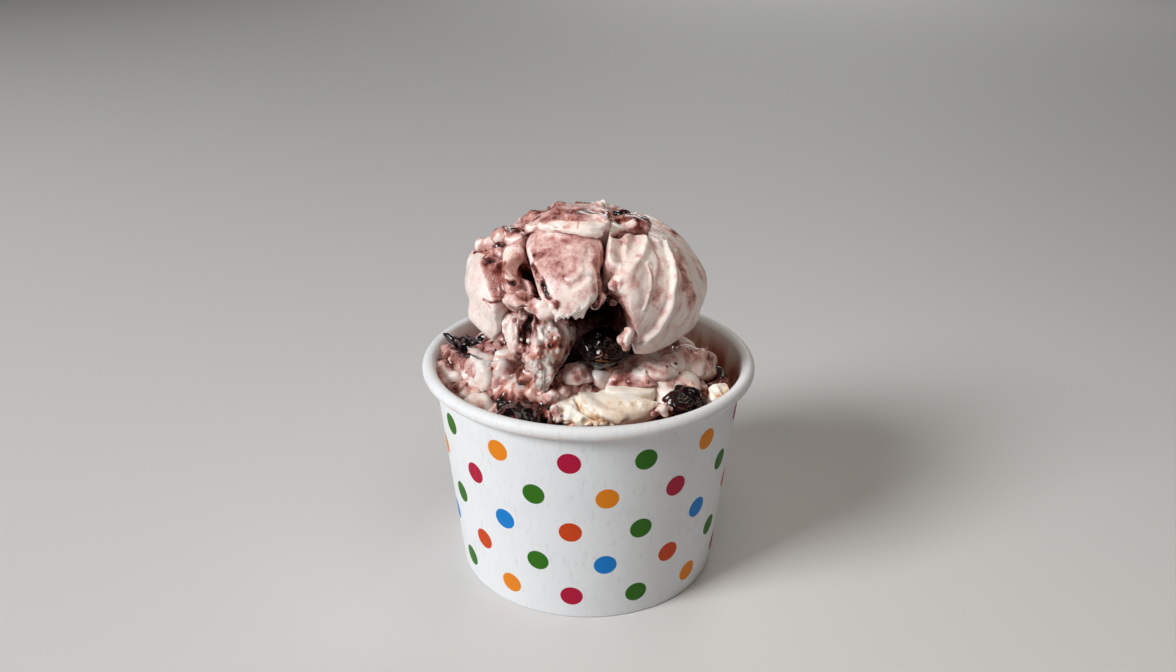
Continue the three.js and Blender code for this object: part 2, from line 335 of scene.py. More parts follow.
@dataclass
class Skin:
    """A closed surface made of rings of points, with a pole at each end.

    Attributes:
        rings: Points in mm, as (ring, place round it, xyz).
        masks: Named values on the same grid, which the materials read.
    """

    rings: Array
    masks: dict[str, Array] = field(default_factory=dict)

    @property
    def steps(self) -> Array:
        """Area vectors at the points: the step round the ring crossed with the one from ring to ring."""
        round_it = np.roll(self.rings, -1, axis=1) - np.roll(self.rings, 1, axis=1)
        return np.cross(round_it, np.gradient(self.rings, axis=0))

    @property
    def hand(self) -> float:
        """1 if the steps point out of the skin, -1 if they point into it."""
        middle = self.rings.mean(axis=(0, 1))
        return math.copysign(1.0, np.sum(self.steps * (self.rings - middle)))

    @property
    def normals(self) -> Array:
        """Unit normals that point out."""
        return unit(self.steps) * self.hand

    @property
    def points(self) -> Array:
        """All points, one to a row, with the two poles last."""
        poles = np.stack([self.rings[0].mean(axis=0), self.rings[-1].mean(axis=0)])
        return np.vstack([self.rings.reshape(-1, 3), poles])

    @property
    def faces(self) -> tuple[Array, Array]:
        """Quads between the rings, and fans of triangles at the poles."""
        count, around = self.rings.shape[:2]
        here = np.arange(around)
        there = (here + 1) % around
        rows = np.arange(count - 1)[:, None] * around
        quads = np.stack([rows + here, rows + there, rows + around + there, rows + around + here], axis=-1)
        foot = np.full(around, count * around)
        last = (count - 1) * around
        fans = np.vstack([
            np.stack([foot, there, here], axis=-1),
            np.stack([foot + 1, last + here, last + there], axis=-1),
        ])
        way = int(self.hand)
        return quads.reshape(-1, 4)[:, ::way], fans[:, ::way]

    def values(self, mask: str) -> Array:
        """A mask's values at all points, with the poles' last."""
        grid = self.masks[mask]
        return np.concatenate([grid.ravel(), [grid[0].mean(), grid[-1].mean()]])


def mesh_object(name: str, points: Array, *faces: Array) -> bpy.types.Object:
    """Makes a smooth-shaded object from points and arrays of faces.

    Args:
        name: The piece's name.
        points: Places in mm, one to a row.
        *faces: Arrays of point numbers, one face to a row, the same number of corners in each array.

    Returns:
        The object, in metres, linked to the scene.
    """
    corners = np.concatenate([face.ravel() for face in faces])
    sizes = np.concatenate([np.full(len(face), face.shape[1]) for face in faces])
    mesh = bpy.data.meshes.new(name)
    mesh.vertices.add(len(points))
    mesh.vertices.foreach_set("co", (points * MM).astype(np.float32).ravel())
    mesh.loops.add(len(corners))
    mesh.loops.foreach_set("vertex_index", corners.astype(np.int32))
    mesh.polygons.add(len(sizes))
    mesh.polygons.foreach_set("loop_start", (np.cumsum(sizes) - sizes).astype(np.int32))
    mesh.polygons.foreach_set("use_smooth", np.ones(len(sizes), dtype=bool))
    mesh.update(calc_edges=True)
    mesh.validate()
    obj = bpy.data.objects.new(name, mesh)
    bpy.context.scene.collection.objects.link(obj)
    return obj


def paint_points(obj: bpy.types.Object, name: str, values: Array) -> None:
    """Stores one number for each point of a mesh, for its material to read."""
    store = obj.data.attributes.new(name, "FLOAT", "POINT")
    store.data.foreach_set("value", values.astype(np.float32))


def joined(name: str, skins: Sequence[Skin]) -> bpy.types.Object:
    """Makes one object of one or more skins, with their masks."""
    starts = np.cumsum([0, *(len(skin.points) for skin in skins)])
    faces = [skin.faces for skin in skins]
    quads = np.vstack([pair[0] + start for pair, start in zip(faces, starts)])
    fans = np.vstack([pair[1] + start for pair, start in zip(faces, starts)])
    obj = mesh_object(name, np.vstack([skin.points for skin in skins]), quads, fans)
    for mask in skins[0].masks:
        paint_points(obj, mask, np.concatenate([skin.values(mask) for skin in skins]))
    return obj


def node_ball(node: str) -> tuple[Array, Array]:
    """Middle and radii of the ball that fills a frame node's box, in mm."""
    low, high = (np.array(corner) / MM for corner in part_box(node))
    return (low + high) / 2, (high - low) / 2


def dress(obj: bpy.types.Object, finish: bpy.types.Material,
          stands_for: Iterable[str] = ()) -> None:
    """Gives a piece its material, its body and the frame nodes that it stands for."""
    obj.data.materials.append(finish)
    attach(obj, BODY)
    for node in stands_for:
        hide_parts(node)
    log.info("%s: %d faces", obj.name, len(obj.data.polygons))


def ball(centre: Any, radii: Any, size: tuple[int, int], front: float, turn: float = 0.0) -> Skin:
    """A ball with three radii: centre + radii * way, for ways all round.

    Args:
        centre: Its middle.
        radii: Its radii across, from front to back and up.
        size: Number of rings and of points round each.
        front: From 0 to under 1, how much closer the points are at the front than at the back.
        turn: How far it is turned about its upright axis, in degrees.

    Returns:
        The skin.
    """
    share = np.linspace(-np.pi, np.pi, size[1], endpoint=False)
    azimuth = np.degrees(share - front * np.sin(share))
    elevation = 90.0 * np.linspace(-1, 1, size[0] + 2)[1:-1]
    arm = np.asarray(radii) * toward(azimuth[None, :], elevation[:, None])
    c, s = math.cos(math.radians(turn)), math.sin(math.radians(turn))
    return Skin(np.asarray(centre) + arm @ np.array([[c, s, 0], [-s, c, 0], [0, 0, 1]]))


def section(around: int, aspect: float, square: float) -> Array:
    """Evenly spaced points round a rounded rectangle: a superellipse, re-spaced by its own length.

    Args:
        around: Number of points.
        aspect: Its width over its height.
        square: Power of the superellipse, 1 for an ellipse and near 0 for a rectangle.

    Returns:
        Points from -1 to 1 both ways, one to a row.
    """
    t = np.linspace(0, 2 * np.pi, 2001)
    line = np.stack([np.cos(t), np.sin(t)], axis=-1)
    line = np.sign(line) * np.abs(line) ** square
    run = np.concatenate([[0], np.cumsum(length(np.diff(line * [aspect, 1.0], axis=0)))])
    even = np.linspace(0, run[-1], around, endpoint=False)
    return np.stack([np.interp(even, run, line[:, k]) for k in range(2)], axis=-1)


def sheet(left: Array, right: Array, out: Any, thick: Any, bulge: Any, size: tuple[int, int],
          square: float, end: float) -> Skin:
    """A thick sheet between two edges.

    A rounded section is carried along the sheet: middle + x * half the width + out * (bulge * (1 - x^2) +
    y * half the thickness). Both halves shrink to nothing at the two ends by (1 - |u|^end)^(1/end).

    Args:
        left: Corners of one edge, one to a row.
        right: Corners of the other edge.
        out: Outward directions, one for each corner, or one for all.
        thick: Thickness in mm, a number or one for each corner.
        bulge: How far the middle stands out of the straight line between the edges.
        size: Number of rings and of points round each.
        square: Roundness of the section, as in section.
        end: How square the ends are.

    Returns:
        The skin.
    """
    u = np.sin(np.linspace(-1, 1, size[0]) * (np.pi / 2 - 0.012))
    share = (u + 1) / 2
    a, b = curve_at(left, share), curve_at(right, share)
    count = len(left)
    way = unit(curve_at(np.broadcast_to(out, (count, 3)), share))
    half_thick = curve_at(np.broadcast_to(np.asarray(thick, float), (count,)), share) / 2
    stand = curve_at(np.broadcast_to(np.asarray(bulge, float), (count,)), share)
    close = (1 - np.abs(u) ** end) ** (1 / end)
    aspect = float(length(b - a).mean() / (2 * half_thick.mean()))
    x, y = section(size[1], aspect, square).T
    reach = close[:, None] * x
    across = (b - a) / 2
    lift = stand[:, None] * (1 - reach**2) + (close * half_thick)[:, None] * y
    return Skin(((a + b) / 2)[:, None] + reach[..., None] * across[:, None] + lift[..., None] * way[:, None])


@dataclass(frozen=True)
class Mark:
    """A line, spot or area drawn on a skin, as it is seen in the camera's frame.

    Attributes:
        path: Its corners in frame pixels, x and y one pair after the other.
        core: How far from the line or area it keeps its full strength, in mm.
        soft: How far it then takes to fade, in mm.
        right: The same on the right of the way that it runs, if that is other.
        rise: How much it raises the skin, in mm.
        level: How far from the plain skin it sets it, in mm.
        tone: The share of syrup that it paints, from 0, cream, to 1, black. Some marks use it for painted
            shade in grooves, cracks and under overhangs, and for painted highlight on ridges.
        torn: How torn it makes the skin, from 0 to 1.
        paint: Strength of tone and torn.
        area: True if the path is an area's closed outline.
    """

    path: tuple[float, ...]
    core: float
    soft: float
    right: float | None = None
    rise: float = 0.0
    level: float | None = None
    tone: float | None = None
    torn: float | None = None
    paint: float = 1.0
    area: bool = False

    @property
    def corners(self) -> Array:
        """The path's corners, one to a row."""
        return np.reshape(self.path, (-1, 2))


@dataclass
class Relief:
    """What is drawn on a skin: how far it stands out, how much syrup it holds, with some painted shade and
    highlight in that share, and how torn it is.

    Attributes:
        skin: The plain skin.
        grain: The noise that roughens it.
        wobble: How far the marks' edges stray, in mm.
        ripple: Share of syrup to start with.
        torn: How torn it is to start with.
    """

    skin: Skin
    grain: Noise
    wobble: float
    ripple: Any = 0.0
    torn: Any = 0.0

    def __post_init__(self) -> None:
        """Works out what the marks need of the plain skin."""
        base = self.skin.rings
        self.rise = np.zeros(base.shape[:-1])
        self.ripple = self.ripple + self.rise
        self.torn = self.torn + self.rise
        self.out = self.skin.normals
        self.bent = base + self.wobble * self.grain.shift(base, 3.2)
        self.seen = SIGHT.seen(base)
        self.seen_bent = SIGHT.seen(self.bent)
        self.facing = np.einsum("...k,...k", self.out, unit(SIGHT.eye - base))

    def spot(self, x: float, y: float) -> Array:
        """The skin's point that is seen at a frame place: the nearest to the eye of those close to it."""
        off = np.hypot(self.seen[..., 0] - x, self.seen[..., 1] - y)
        cost = np.maximum(off, SPOT_PIXELS) * SPOT_COST + self.seen[..., 2]
        return self.skin.rings.reshape(-1, 3)[cost.argmin()]

    def by_line(self, mark: Mark) -> tuple[Array, Array]:
        """The points near a mark's line, and its strength at them: full up to core, gone after soft more."""
        corners = np.array([self.spot(x, y) for x, y in mark.corners])
        line = np.vstack([corners, corners]) if len(corners) == 1 else corners
        if len(corners) > 2:
            line = curve_at(corners, np.linspace(0, 1, 3 * len(corners)))
        right = mark.soft if mark.right is None else mark.right
        reach = mark.core + max(mark.soft, right)
        low, high = line.min(axis=0) - reach, line.max(axis=0) + reach
        near = np.all((self.bent > low) & (self.bent < high), axis=-1)
        far, on_right = near_line(self.bent[near], line, self.out[near])
        part = np.clip((far - mark.core) / np.where(on_right, right, mark.soft), 0.0, 1.0)
        return near, 1.0 - part * part * (3.0 - 2.0 * part)

    def in_area(self, mark: Mark) -> tuple[Array, Array]:
        """The points seen in a mark's area, and its strength at them: full to core past it, then fading."""
        outline = mark.corners
        reach = PIXELS_A_MM * (mark.core + mark.soft)
        place = self.seen_bent[..., :2]
        low, high = outline.min(axis=0) - reach, outline.max(axis=0) + reach
        near = np.all((place > low) & (place < high), axis=-1) & (self.facing > TURNED_AWAY[0])
        gap = depth_in(place[near], outline) * self.seen[near][:, 2] / SIGHT.focal
        return near, smooth(gap, -mark.core - mark.soft, -mark.core) * smooth(self.facing[near], *TURNED_AWAY)

    def draw(self, marks: Iterable[Mark]) -> "Relief":
        """Draws marks one over the other."""
        for mark in marks:
            near, share = self.in_area(mark) if mark.area else self.by_line(mark)
            if mark.level is not None:
                self.rise[near] = blend(self.rise[near], mark.level, share)
            self.rise[near] += mark.rise * share
            if mark.tone is not None:
                self.ripple[near] = blend(self.ripple[near], mark.tone, share * mark.paint)
            if mark.torn is not None:
                self.torn[near] = blend(self.torn[near], mark.torn, share * mark.paint)
        return self

    def finish(self, crumb: float, swell: float, size: float = 3.0, stir: float = 0.3) -> Skin:
        """Roughens the skin and gives it its masks.

        Where it is torn, it has lumps and soft folds between them: 0.9 * fractal + 1.1 * (sqrt(fractal^2 +
        0.01) - 0.3). Patches of it crumble too. Syrup marbles it, and what is low is painted darker: partly
        syrup lying there and partly painted shade in the creases. The rest swells gently.

        Args:
            crumb: Height of the lumps, in mm.
            swell: Height of the swelling, in mm.
            size: Width of the lumps, in mm.
            stir: How strongly syrup marbles it.

        Returns:
            The skin.
        """
        base = self.skin.rings + self.out * self.rise[..., None]
        bent = base + 0.6 * self.grain.shift(base, 2.4)
        lumps = self.grain.fractal(bent, size * 1.8, 4, 0.45)
        folds = np.sqrt(self.grain.fractal(bent + 11.0, size * 2.4, 2) ** 2 + 0.01)
        patch = smooth(self.grain.swell(base + 50.0, 6.0), 0.0, 0.6)
        crumbs = self.grain.crumbs(bent, size * 0.6)
        marble = self.grain.fractal(base + 2.2 * self.grain.shift(base + 20.0, 5.0), 5.5, 3)
        rough = 0.9 * lumps + 1.1 * (folds - 0.3) + 0.12 * patch * (crumbs - 0.6)
        # partly syrup and partly painted shade: the low places between lumps and the cracks between crumbs
        # get more of the dark tone
        crease_syrup_and_shade = 0.42 * smooth(-rough, 0.0, 0.6) + 0.12 * patch * (0.75 - crumbs) - 0.08
        waves = self.grain.fractal(base, 9.0, 3)
        height = self.rise + crumb * self.torn * rough + swell * (1 - self.torn) * waves
        self.skin.rings = self.skin.rings + self.out * height[..., None]
        stirred = self.ripple + self.torn * crease_syrup_and_shade + stir * (0.35 + 0.65 * self.torn) * marble
        self.skin.masks["ripple"] = np.clip(stirred, 0.0, 1.0)
        self.skin.masks["torn"] = np.clip(self.torn, 0.0, 1.0)
        return self.skin


# ---------------------------------------------------------------- shader graphs


class Graph:
    """Adds and links nodes in a material's tree or a node group's."""

    def __init__(self, tree: bpy.types.NodeTree) -> None:
        """Works on a tree that is emptied first."""
        self.tree = tree
        tree.nodes.clear()

    def add(self, kind: str, inputs: dict[Any, Any] | None = None, **settings: Any) -> bpy.types.Node:
        """Adds a node.

        Args:
            kind: Its type, without the leading ShaderNode.
            inputs: Values or sockets by input name or number.
            **settings: The node's own settings.

        Returns:
            The node.
        """
        node = self.tree.nodes.new(kind if kind.startswith("NodeGroup") else f"ShaderNode{kind}")
        for name, value in settings.items():
            setattr(node, name, value)
        for key, value in (inputs or {}).items():
            self.feed(node.inputs[key], value)
        return node

    def feed(self, socket: bpy.types.NodeSocket, value: Any) -> None:
        """Links a socket, or sets its value."""
        if isinstance(value, bpy.types.NodeSocket):
            self.tree.links.new(value, socket)
        elif value is not None:
            socket.default_value = value

    def math(self, operation: str, a: Any, b: Any = None, c: Any = None) -> Any:
        """A Math node's result."""
        return self.add("Math", {0: a, 1: b, 2: c}, operation=operation).outputs[0]

    def mix(self, factor: Any, a: Any, b: Any, style: str = "MIX") -> Any:
        """Two colours mixed."""
        node = self.add("Mix", data_type="RGBA", blend_type=style, clamp_factor=True)
        self.feed(node.inputs["Factor"], factor)
        self.feed(node.inputs[6], a)
        self.feed(node.inputs[7], b)
        return node.outputs[2]

    def span(self, value: Any, low: float, high: float, to_low: Any = 0.0, to_high: Any = 1.0) -> Any:
        """A value moved from one range to another along an S curve, held at the ends."""
        inputs = {"Value": value, "From Min": low, "From Max": high, "To Min": to_low, "To Max": to_high}
        return self.add("MapRange", inputs, interpolation_type="SMOOTHSTEP").outputs["Result"]

    def ramp(self, factor: Any, stops: Sequence[tuple[float, Colour]]) -> Any:
        """The colour of a value along a row of colour stops."""
        node = self.add("ValToRGB", {"Fac": factor})
        elements = node.color_ramp.elements
        for index, (place, tint) in enumerate(stops):
            stop = elements[index] if index < 2 else elements.new(place)
            stop.position = place
            stop.color = tint
        return node.outputs["Color"]

    def noise(self, vector: Any, scale: float, detail: float = 3.0, roughness: float = 0.5) -> Any:
        """Fractal noise from 0 to 1. The scale is in cells to a metre."""
        inputs = {"Vector": vector, "Scale": scale, "Detail": detail, "Roughness": roughness}
        return self.add("TexNoise", inputs).outputs["Fac"]

    def stretched(self, vector: Any, scale: Point) -> Any:
        """Coordinates scaled along each axis."""
        return self.add("Mapping", {"Vector": vector, "Scale": scale}).outputs["Vector"]

    def mask(self, name: str) -> Any:
        """A named value stored on the mesh."""
        return self.add("Attribute", attribute_name=name).outputs["Fac"]

    def place(self) -> Any:
        """Object coordinates."""
        return self.add("TexCoord").outputs["Object"]

    def bump(self, height: Any, strength: Any, distance: float) -> Any:
        """A normal bent by a height, whose full range is distance in metres."""
        inputs = {"Height": height, "Strength": strength, "Distance": distance}
        return self.add("Bump", inputs).outputs["Normal"]


def group(name: str, inputs: dict[str, str], outputs: dict[str, str]) -> tuple[Graph, Any, Any]:
    """Starts a shader node group.

    Args:
        name: The group's name.
        inputs: Socket types by input name.
        outputs: Socket types by output name.

    Returns:
        Its graph, its input node and its output node.
    """
    tree = bpy.data.node_groups.new(name, "ShaderNodeTree")
    for title, kind in inputs.items():
        tree.interface.new_socket(title, in_out="INPUT", socket_type=f"NodeSocket{kind}")
    for title, kind in outputs.items():
        tree.interface.new_socket(title, in_out="OUTPUT", socket_type=f"NodeSocket{kind}")
    graph = Graph(tree)
    return graph, graph.add("NodeGroupInput"), graph.add("NodeGroupOutput")


def place_group(graph: Graph, tree: bpy.types.NodeTree, inputs: dict[str, Any]) -> bpy.types.Node:
    """Places a node group in a graph."""
    node = graph.add("Group")
    node.node_tree = tree
    for title, value in inputs.items():
        graph.feed(node.inputs[title], value)
    return node


def shade(red: float, green: float, blue: float) -> Colour:
    """A colour given as it looks on a screen, 0 to 255, as the linear colour that shaders take."""
    parts = (red / 255, green / 255, blue / 255)
    linear = (p / 12.92 if p <= 0.04045 else ((p + 0.055) / 1.055) ** 2.4 for p in parts)
    return (*linear, 1.0)


def new_finish(name: str) -> tuple[bpy.types.Material, Graph, bpy.types.Node]:
    """Starts a material: its graph and its Principled shader, linked to the output."""
    material = bpy.data.materials.new(name)
    material.use_nodes = True
    graph = Graph(material.node_tree)
    shader = graph.add("BsdfPrincipled")
    output = graph.add("OutputMaterial")
    graph.feed(output.inputs["Surface"], shader.outputs["BSDF"])
    return material, graph, shader


# ---------------------------------------------------------------- finishes


@dataclass(frozen=True)
class DotPrint:
    """Staggered rows of round dots, printed all round the cup's wall.

    Attributes:
        rows: Number of rows.
        top_row: Height of the top row's middle, in mm.
        row_step: Distance between rows, in mm.
        half_step: Half the distance between a row's dots, in degrees.
        first: Azimuth of half-step 0, in degrees.
        diameter: A dot's diameter, in mm.
        edge: How far its edge fades to either side, in mm.
    """

    rows: int = 5
    top_row: float = 52.68
    row_step: float = 11.21
    half_step: float = 13.4
    first: float = -6.44
    diameter: float = 6.3
    edge: float = 0.06
    magenta: Colour = shade(176, 4, 54)
    green: Colour = shade(44, 108, 4)
    orange: Colour = shade(230, 132, 10)
    red: Colour = shade(204, 66, 8)
    blue: Colour = shade(2, 124, 204)

    def build(self) -> bpy.types.NodeTree:
        """The node group: from azimuth, height and radius to a dot's mask and its colour.

        The nearest dot is in the rounded row and, in it, at the nearest half-step whose evenness is the row's
        own. The colours go round in threes, and start three half-steps on in odd rows. The third and fourth
        rows from the top have red and blue in place of magenta and orange.
        """
        inputs = {"Azimuth": "Float", "Height": "Float", "Radius": "Float"}
        g, start, end = group("dot_print", inputs, {"Mask": "Float", "Color": "Color"})
        column = g.math("DIVIDE", g.math("SUBTRACT", start.outputs["Azimuth"], self.first), self.half_step)
        row = g.math("DIVIDE", g.math("SUBTRACT", self.top_row, start.outputs["Height"]), self.row_step)
        near_row = g.math("ROUND", row)
        odd = g.math("FLOORED_MODULO", near_row, 2.0)
        pairs = g.math("ROUND", g.math("DIVIDE", g.math("SUBTRACT", column, odd), 2.0))
        near_column = g.math("MULTIPLY_ADD", pairs, 2.0, odd)
        turn_off = g.math("MULTIPLY", g.math("SUBTRACT", column, near_column), math.radians(self.half_step))
        across = g.math("MULTIPLY", turn_off, start.outputs["Radius"])
        along = g.math("MULTIPLY", g.math("SUBTRACT", row, near_row), self.row_step)
        square = g.math("MULTIPLY", across, across)
        off = g.math("SQRT", g.math("MULTIPLY_ADD", along, along, square))
        inside = g.span(off, self.diameter / 2 + self.edge, self.diameter / 2 - self.edge)
        high = g.math("GREATER_THAN", near_row, -0.5)
        on_rows = g.math("MULTIPLY", high, g.math("LESS_THAN", near_row, self.rows - 0.5))
        turn = g.math("FLOORED_MODULO", g.math("MULTIPLY_ADD", odd, -3.0, near_column), 6.0)
        first = g.math("LESS_THAN", turn, 1.0)
        second = g.math("LESS_THAN", turn, 3.0)
        middle_rows = g.math("COMPARE", near_row, 2.5, 0.9)
        usual = g.mix(first, g.mix(second, self.orange, self.green), self.magenta)
        middle = g.mix(first, g.mix(second, self.blue, self.green), self.red)
        g.feed(end.inputs["Mask"], g.math("MULTIPLY", inside, on_rows))
        g.feed(end.inputs["Color"], g.mix(middle_rows, usual, middle))
        return g.tree


@dataclass(frozen=True)
class BoardFinish:
    """White coated board with faint fibres, printed with dots outside, with gelato smears inside over a brown
    tint that is partly damp board and partly painted shade, deepest low down.
    """

    white: Colour = shade(234, 236, 238)
    fibre: Colour = shade(218, 220, 223)
    stain: Colour = shade(164, 92, 68)
    damp_and_shade: Colour = shade(208, 176, 150)
    roughness: float = 0.5

    def build(self, sizes: "CupSizes") -> bpy.types.Material:
        """The material. It reads the UV map as azimuth and height, the mask of the print, and the mask of the
        stain and painted shade inside.
        """
        material, g, shader = new_finish("printed_board")
        uv = g.add("SeparateXYZ", {"Vector": g.add("UVMap", uv_map="print").outputs["UV"]})
        azimuth = g.math("MULTIPLY_ADD", uv.outputs["X"], 360.0, -180.0)
        height = g.math("MULTIPLY", uv.outputs["Y"], sizes.height)
        radius = g.math("MULTIPLY_ADD", height, sizes.lean, sizes.foot_radius)
        dots = place_group(g, DotPrint().build(), {"Azimuth": azimuth, "Height": height, "Radius": radius})
        place = g.place()
        fibres = g.noise(g.stretched(place, (1.0, 1.0, 0.25)), 900.0, 4.0, 0.6)
        cloud = g.noise(place, 90.0)
        pale = g.mix(g.span(fibres, 0.52, 0.8), self.white, self.fibre)
        pale = g.mix(g.span(cloud, 0.5, 0.8, 0.0, 0.35), pale, self.fibre)
        dotted = g.math("MULTIPLY", dots.outputs["Mask"], g.mask("printed"))
        printed = g.mix(dotted, pale, dots.outputs["Color"])
        streaks = g.noise(g.stretched(place, (1.0, 1.0, 0.4)), 140.0, 4.0)
        # inside: the streaked smears are gelato stain; the brown tint under them is partly damp board and
        # partly painted shade, darker lower down
        stain_and_shade = g.mask("stain_and_shade")
        smeared = g.math("MULTIPLY", g.span(streaks, 0.38, 0.58), stain_and_shade)
        g.feed(shader.inputs["Base Color"], g.mix(smeared, g.mix(stain_and_shade, printed, self.damp_and_shade), self.stain))
        shader.inputs["Specular IOR Level"].default_value = 0.2
        rough = g.span(fibres, 0.3, 0.8, self.roughness - 0.06, self.roughness + 0.1)
        g.feed(shader.inputs["Roughness"], rough)
        g.feed(shader.inputs["Normal"], g.bump(g.math("ADD", fibres, cloud), 0.16, 0.00012))
        return material


@dataclass(frozen=True)
class SyrupRow:
    """A row of colours by share of syrup, from plain gelato to pure syrup."""

    name: str
    stops: tuple[tuple[float, Colour], ...]
    browner: Colour = shade(255, 226, 196)

    def build(self) -> bpy.types.NodeTree:
        """The node group: from the share of syrup and how torn the gelato is, to colour, wetness and height.

        The share is stirred by patches, stronger where the gelato is torn, by two finer noises and by upright
        streaks. Dark flecks lie where there is some syrup, and some of the syrup is browner than the rest.
        """
        inputs = {"Ripple": "Float", "Torn": "Float"}
        outputs = {"Color": "Color", "Wet": "Float", "Height": "Float"}
        g, start, end = group(self.name, inputs, outputs)
        place = g.place()
        ripple, torn = start.outputs["Ripple"], start.outputs["Torn"]
        fine = g.noise(place, 1400.0, 4.0, 0.6)
        middle = g.noise(place, 300.0, 4.0, 0.6)
        streak = g.noise(g.stretched(place, (1.0, 1.0, 0.4)), 400.0, 5.0, 0.6)
        speck = g.noise(place, 820.0, 2.0, 0.5)
        patch = g.span(g.noise(place, 170.0, 4.0, 0.55), 0.4, 0.6, -0.45, 0.55)
        some = g.span(ripple, 0.06, 0.3)
        stirred = g.math("MULTIPLY_ADD", patch, g.math("MULTIPLY_ADD", torn, 0.22, 0.06), ripple)
        stirred = g.math("MULTIPLY_ADD", g.math("SUBTRACT", middle, 0.5), 0.5, stirred)
        stirred = g.math("MULTIPLY_ADD", g.math("SUBTRACT", fine, 0.5), 0.32, stirred)
        half = g.math("MULTIPLY", some, 0.5)
        stirred = g.math("MULTIPLY_ADD", g.math("SUBTRACT", streak, 0.5), half, stirred)
        stirred = g.math("MULTIPLY_ADD", g.span(speck, 0.66, 0.78, 0.0, 0.4), some, stirred)
        brown = g.math("MULTIPLY", g.span(g.noise(place, 170.0), 0.44, 0.6), g.math("MULTIPLY", torn, some))
        g.feed(end.inputs["Color"], g.mix(brown, g.ramp(stirred, self.stops), self.browner, "MULTIPLY"))
        g.feed(end.inputs["Wet"], g.span(stirred, 0.36, 0.74))
        g.feed(end.inputs["Height"], g.math("ADD", g.math("MULTIPLY", fine, 0.7), middle))
        return g.tree


CHERRY_RIPPLE = SyrupRow("cherry_ripple", (
    (0.0, shade(252, 242, 235)),
    (0.18, shade(246, 225, 217)),
    (0.34, shade(224, 181, 175)),
    (0.5, shade(183, 128, 123)),
    (0.64, shade(128, 70, 62)),
    (0.78, shade(80, 26, 18)),
    (0.9, shade(30, 9, 8)),
    (1.0, shade(10, 4, 5)),
))

PLAIN_CREAM = SyrupRow("plain_cream", (
    (0.0, shade(254, 247, 237)),
    (0.2, shade(250, 235, 217)),
    (0.45, shade(228, 198, 162)),
    (0.75, shade(168, 120, 80)),
    (1.0, shade(90, 52, 30)),
))


@dataclass(frozen=True)
class GelatoFinish:
    """Gelato, with ripple or plain: moist, granular where it is torn and wet where syrup lies on it."""

    name: str
    roughness: float = 0.36
    grain: float = 0.4

    def build(self, ripple: bpy.types.NodeTree) -> bpy.types.Material:
        """The material. It reads the masks ripple and torn."""
        material, g, shader = new_finish(self.name)
        torn = g.mask("torn")
        mixed = place_group(g, ripple, {"Ripple": g.mask("ripple"), "Torn": torn})
        wet = mixed.outputs["Wet"]
        g.feed(shader.inputs["Base Color"], mixed.outputs["Color"])
        g.feed(shader.inputs["Roughness"], g.math("MULTIPLY_ADD", wet, -0.24, self.roughness))
        g.feed(shader.inputs["Coat Weight"], g.math("MULTIPLY_ADD", wet, 0.5, 0.28))
        shader.inputs["Coat Roughness"].default_value = 0.14
        shader.inputs["Subsurface Weight"].default_value = 0.15
        shader.inputs["Subsurface Radius"].default_value = (1.0, 0.55, 0.4)
        shader.inputs["Subsurface Scale"].default_value = 0.0012
        shader.inputs["IOR"].default_value = 1.4
        strength = g.math("MULTIPLY_ADD", torn, self.grain, 0.2)
        g.feed(shader.inputs["Normal"], g.bump(mixed.outputs["Height"], strength, 0.0004))
        return material


@dataclass(frozen=True)
class CherryFinish:
    """Steeped cherry: dark, another colour where it thins, with a wet coat."""

    name: str = "steeped_cherry"
    deep: Colour = shade(12, 4, 5)
    red: Colour = shade(120, 12, 8)

    def build(self) -> bpy.types.Material:
        """The material. It reads the mask thin."""
        material, g, shader = new_finish(self.name)
        place = g.place()
        cloud = g.noise(place, 260.0)
        thin = g.math("MULTIPLY", g.span(cloud, 0.46, 0.7), g.mask("thin"))
        g.feed(shader.inputs["Base Color"], g.mix(thin, self.deep, self.red))
        g.feed(shader.inputs["Roughness"], g.span(cloud, 0.3, 0.7, 0.14, 0.28))
        shader.inputs["Specular IOR Level"].default_value = 0.25
        shader.inputs["Coat Weight"].default_value = 0.7
        shader.inputs["Coat Roughness"].default_value = 0.04
        shader.inputs["Coat IOR"].default_value = 1.36
        g.feed(shader.inputs["Normal"], g.bump(g.noise(place, 300.0, 3.0, 0.5), 0.25, 0.0004))
        return material


@dataclass(frozen=True)
class Finishes:
    """The dessert's food finishes, each made once."""

    ripple: bpy.types.Material
    cream: bpy.types.Material
    cherry: bpy.types.Material
    flesh: bpy.types.Material
    skin: bpy.types.Material

    @classmethod
    def build(cls) -> "Finishes":
        """Makes them."""
        return cls(
            GelatoFinish("cherry_ripple_gelato").build(CHERRY_RIPPLE.build()),
            GelatoFinish("plain_cream_gelato", 0.46, 0.3).build(PLAIN_CREAM.build()),
            CherryFinish().build(),
            CherryFinish("cherry_flesh", shade(40, 14, 8), shade(140, 88, 48)).build(),
            CherryFinish("cherry_skin", shade(16, 9, 12), shade(124, 92, 96)).build(),
        )


# ---------------------------------------------------------------- paper cup


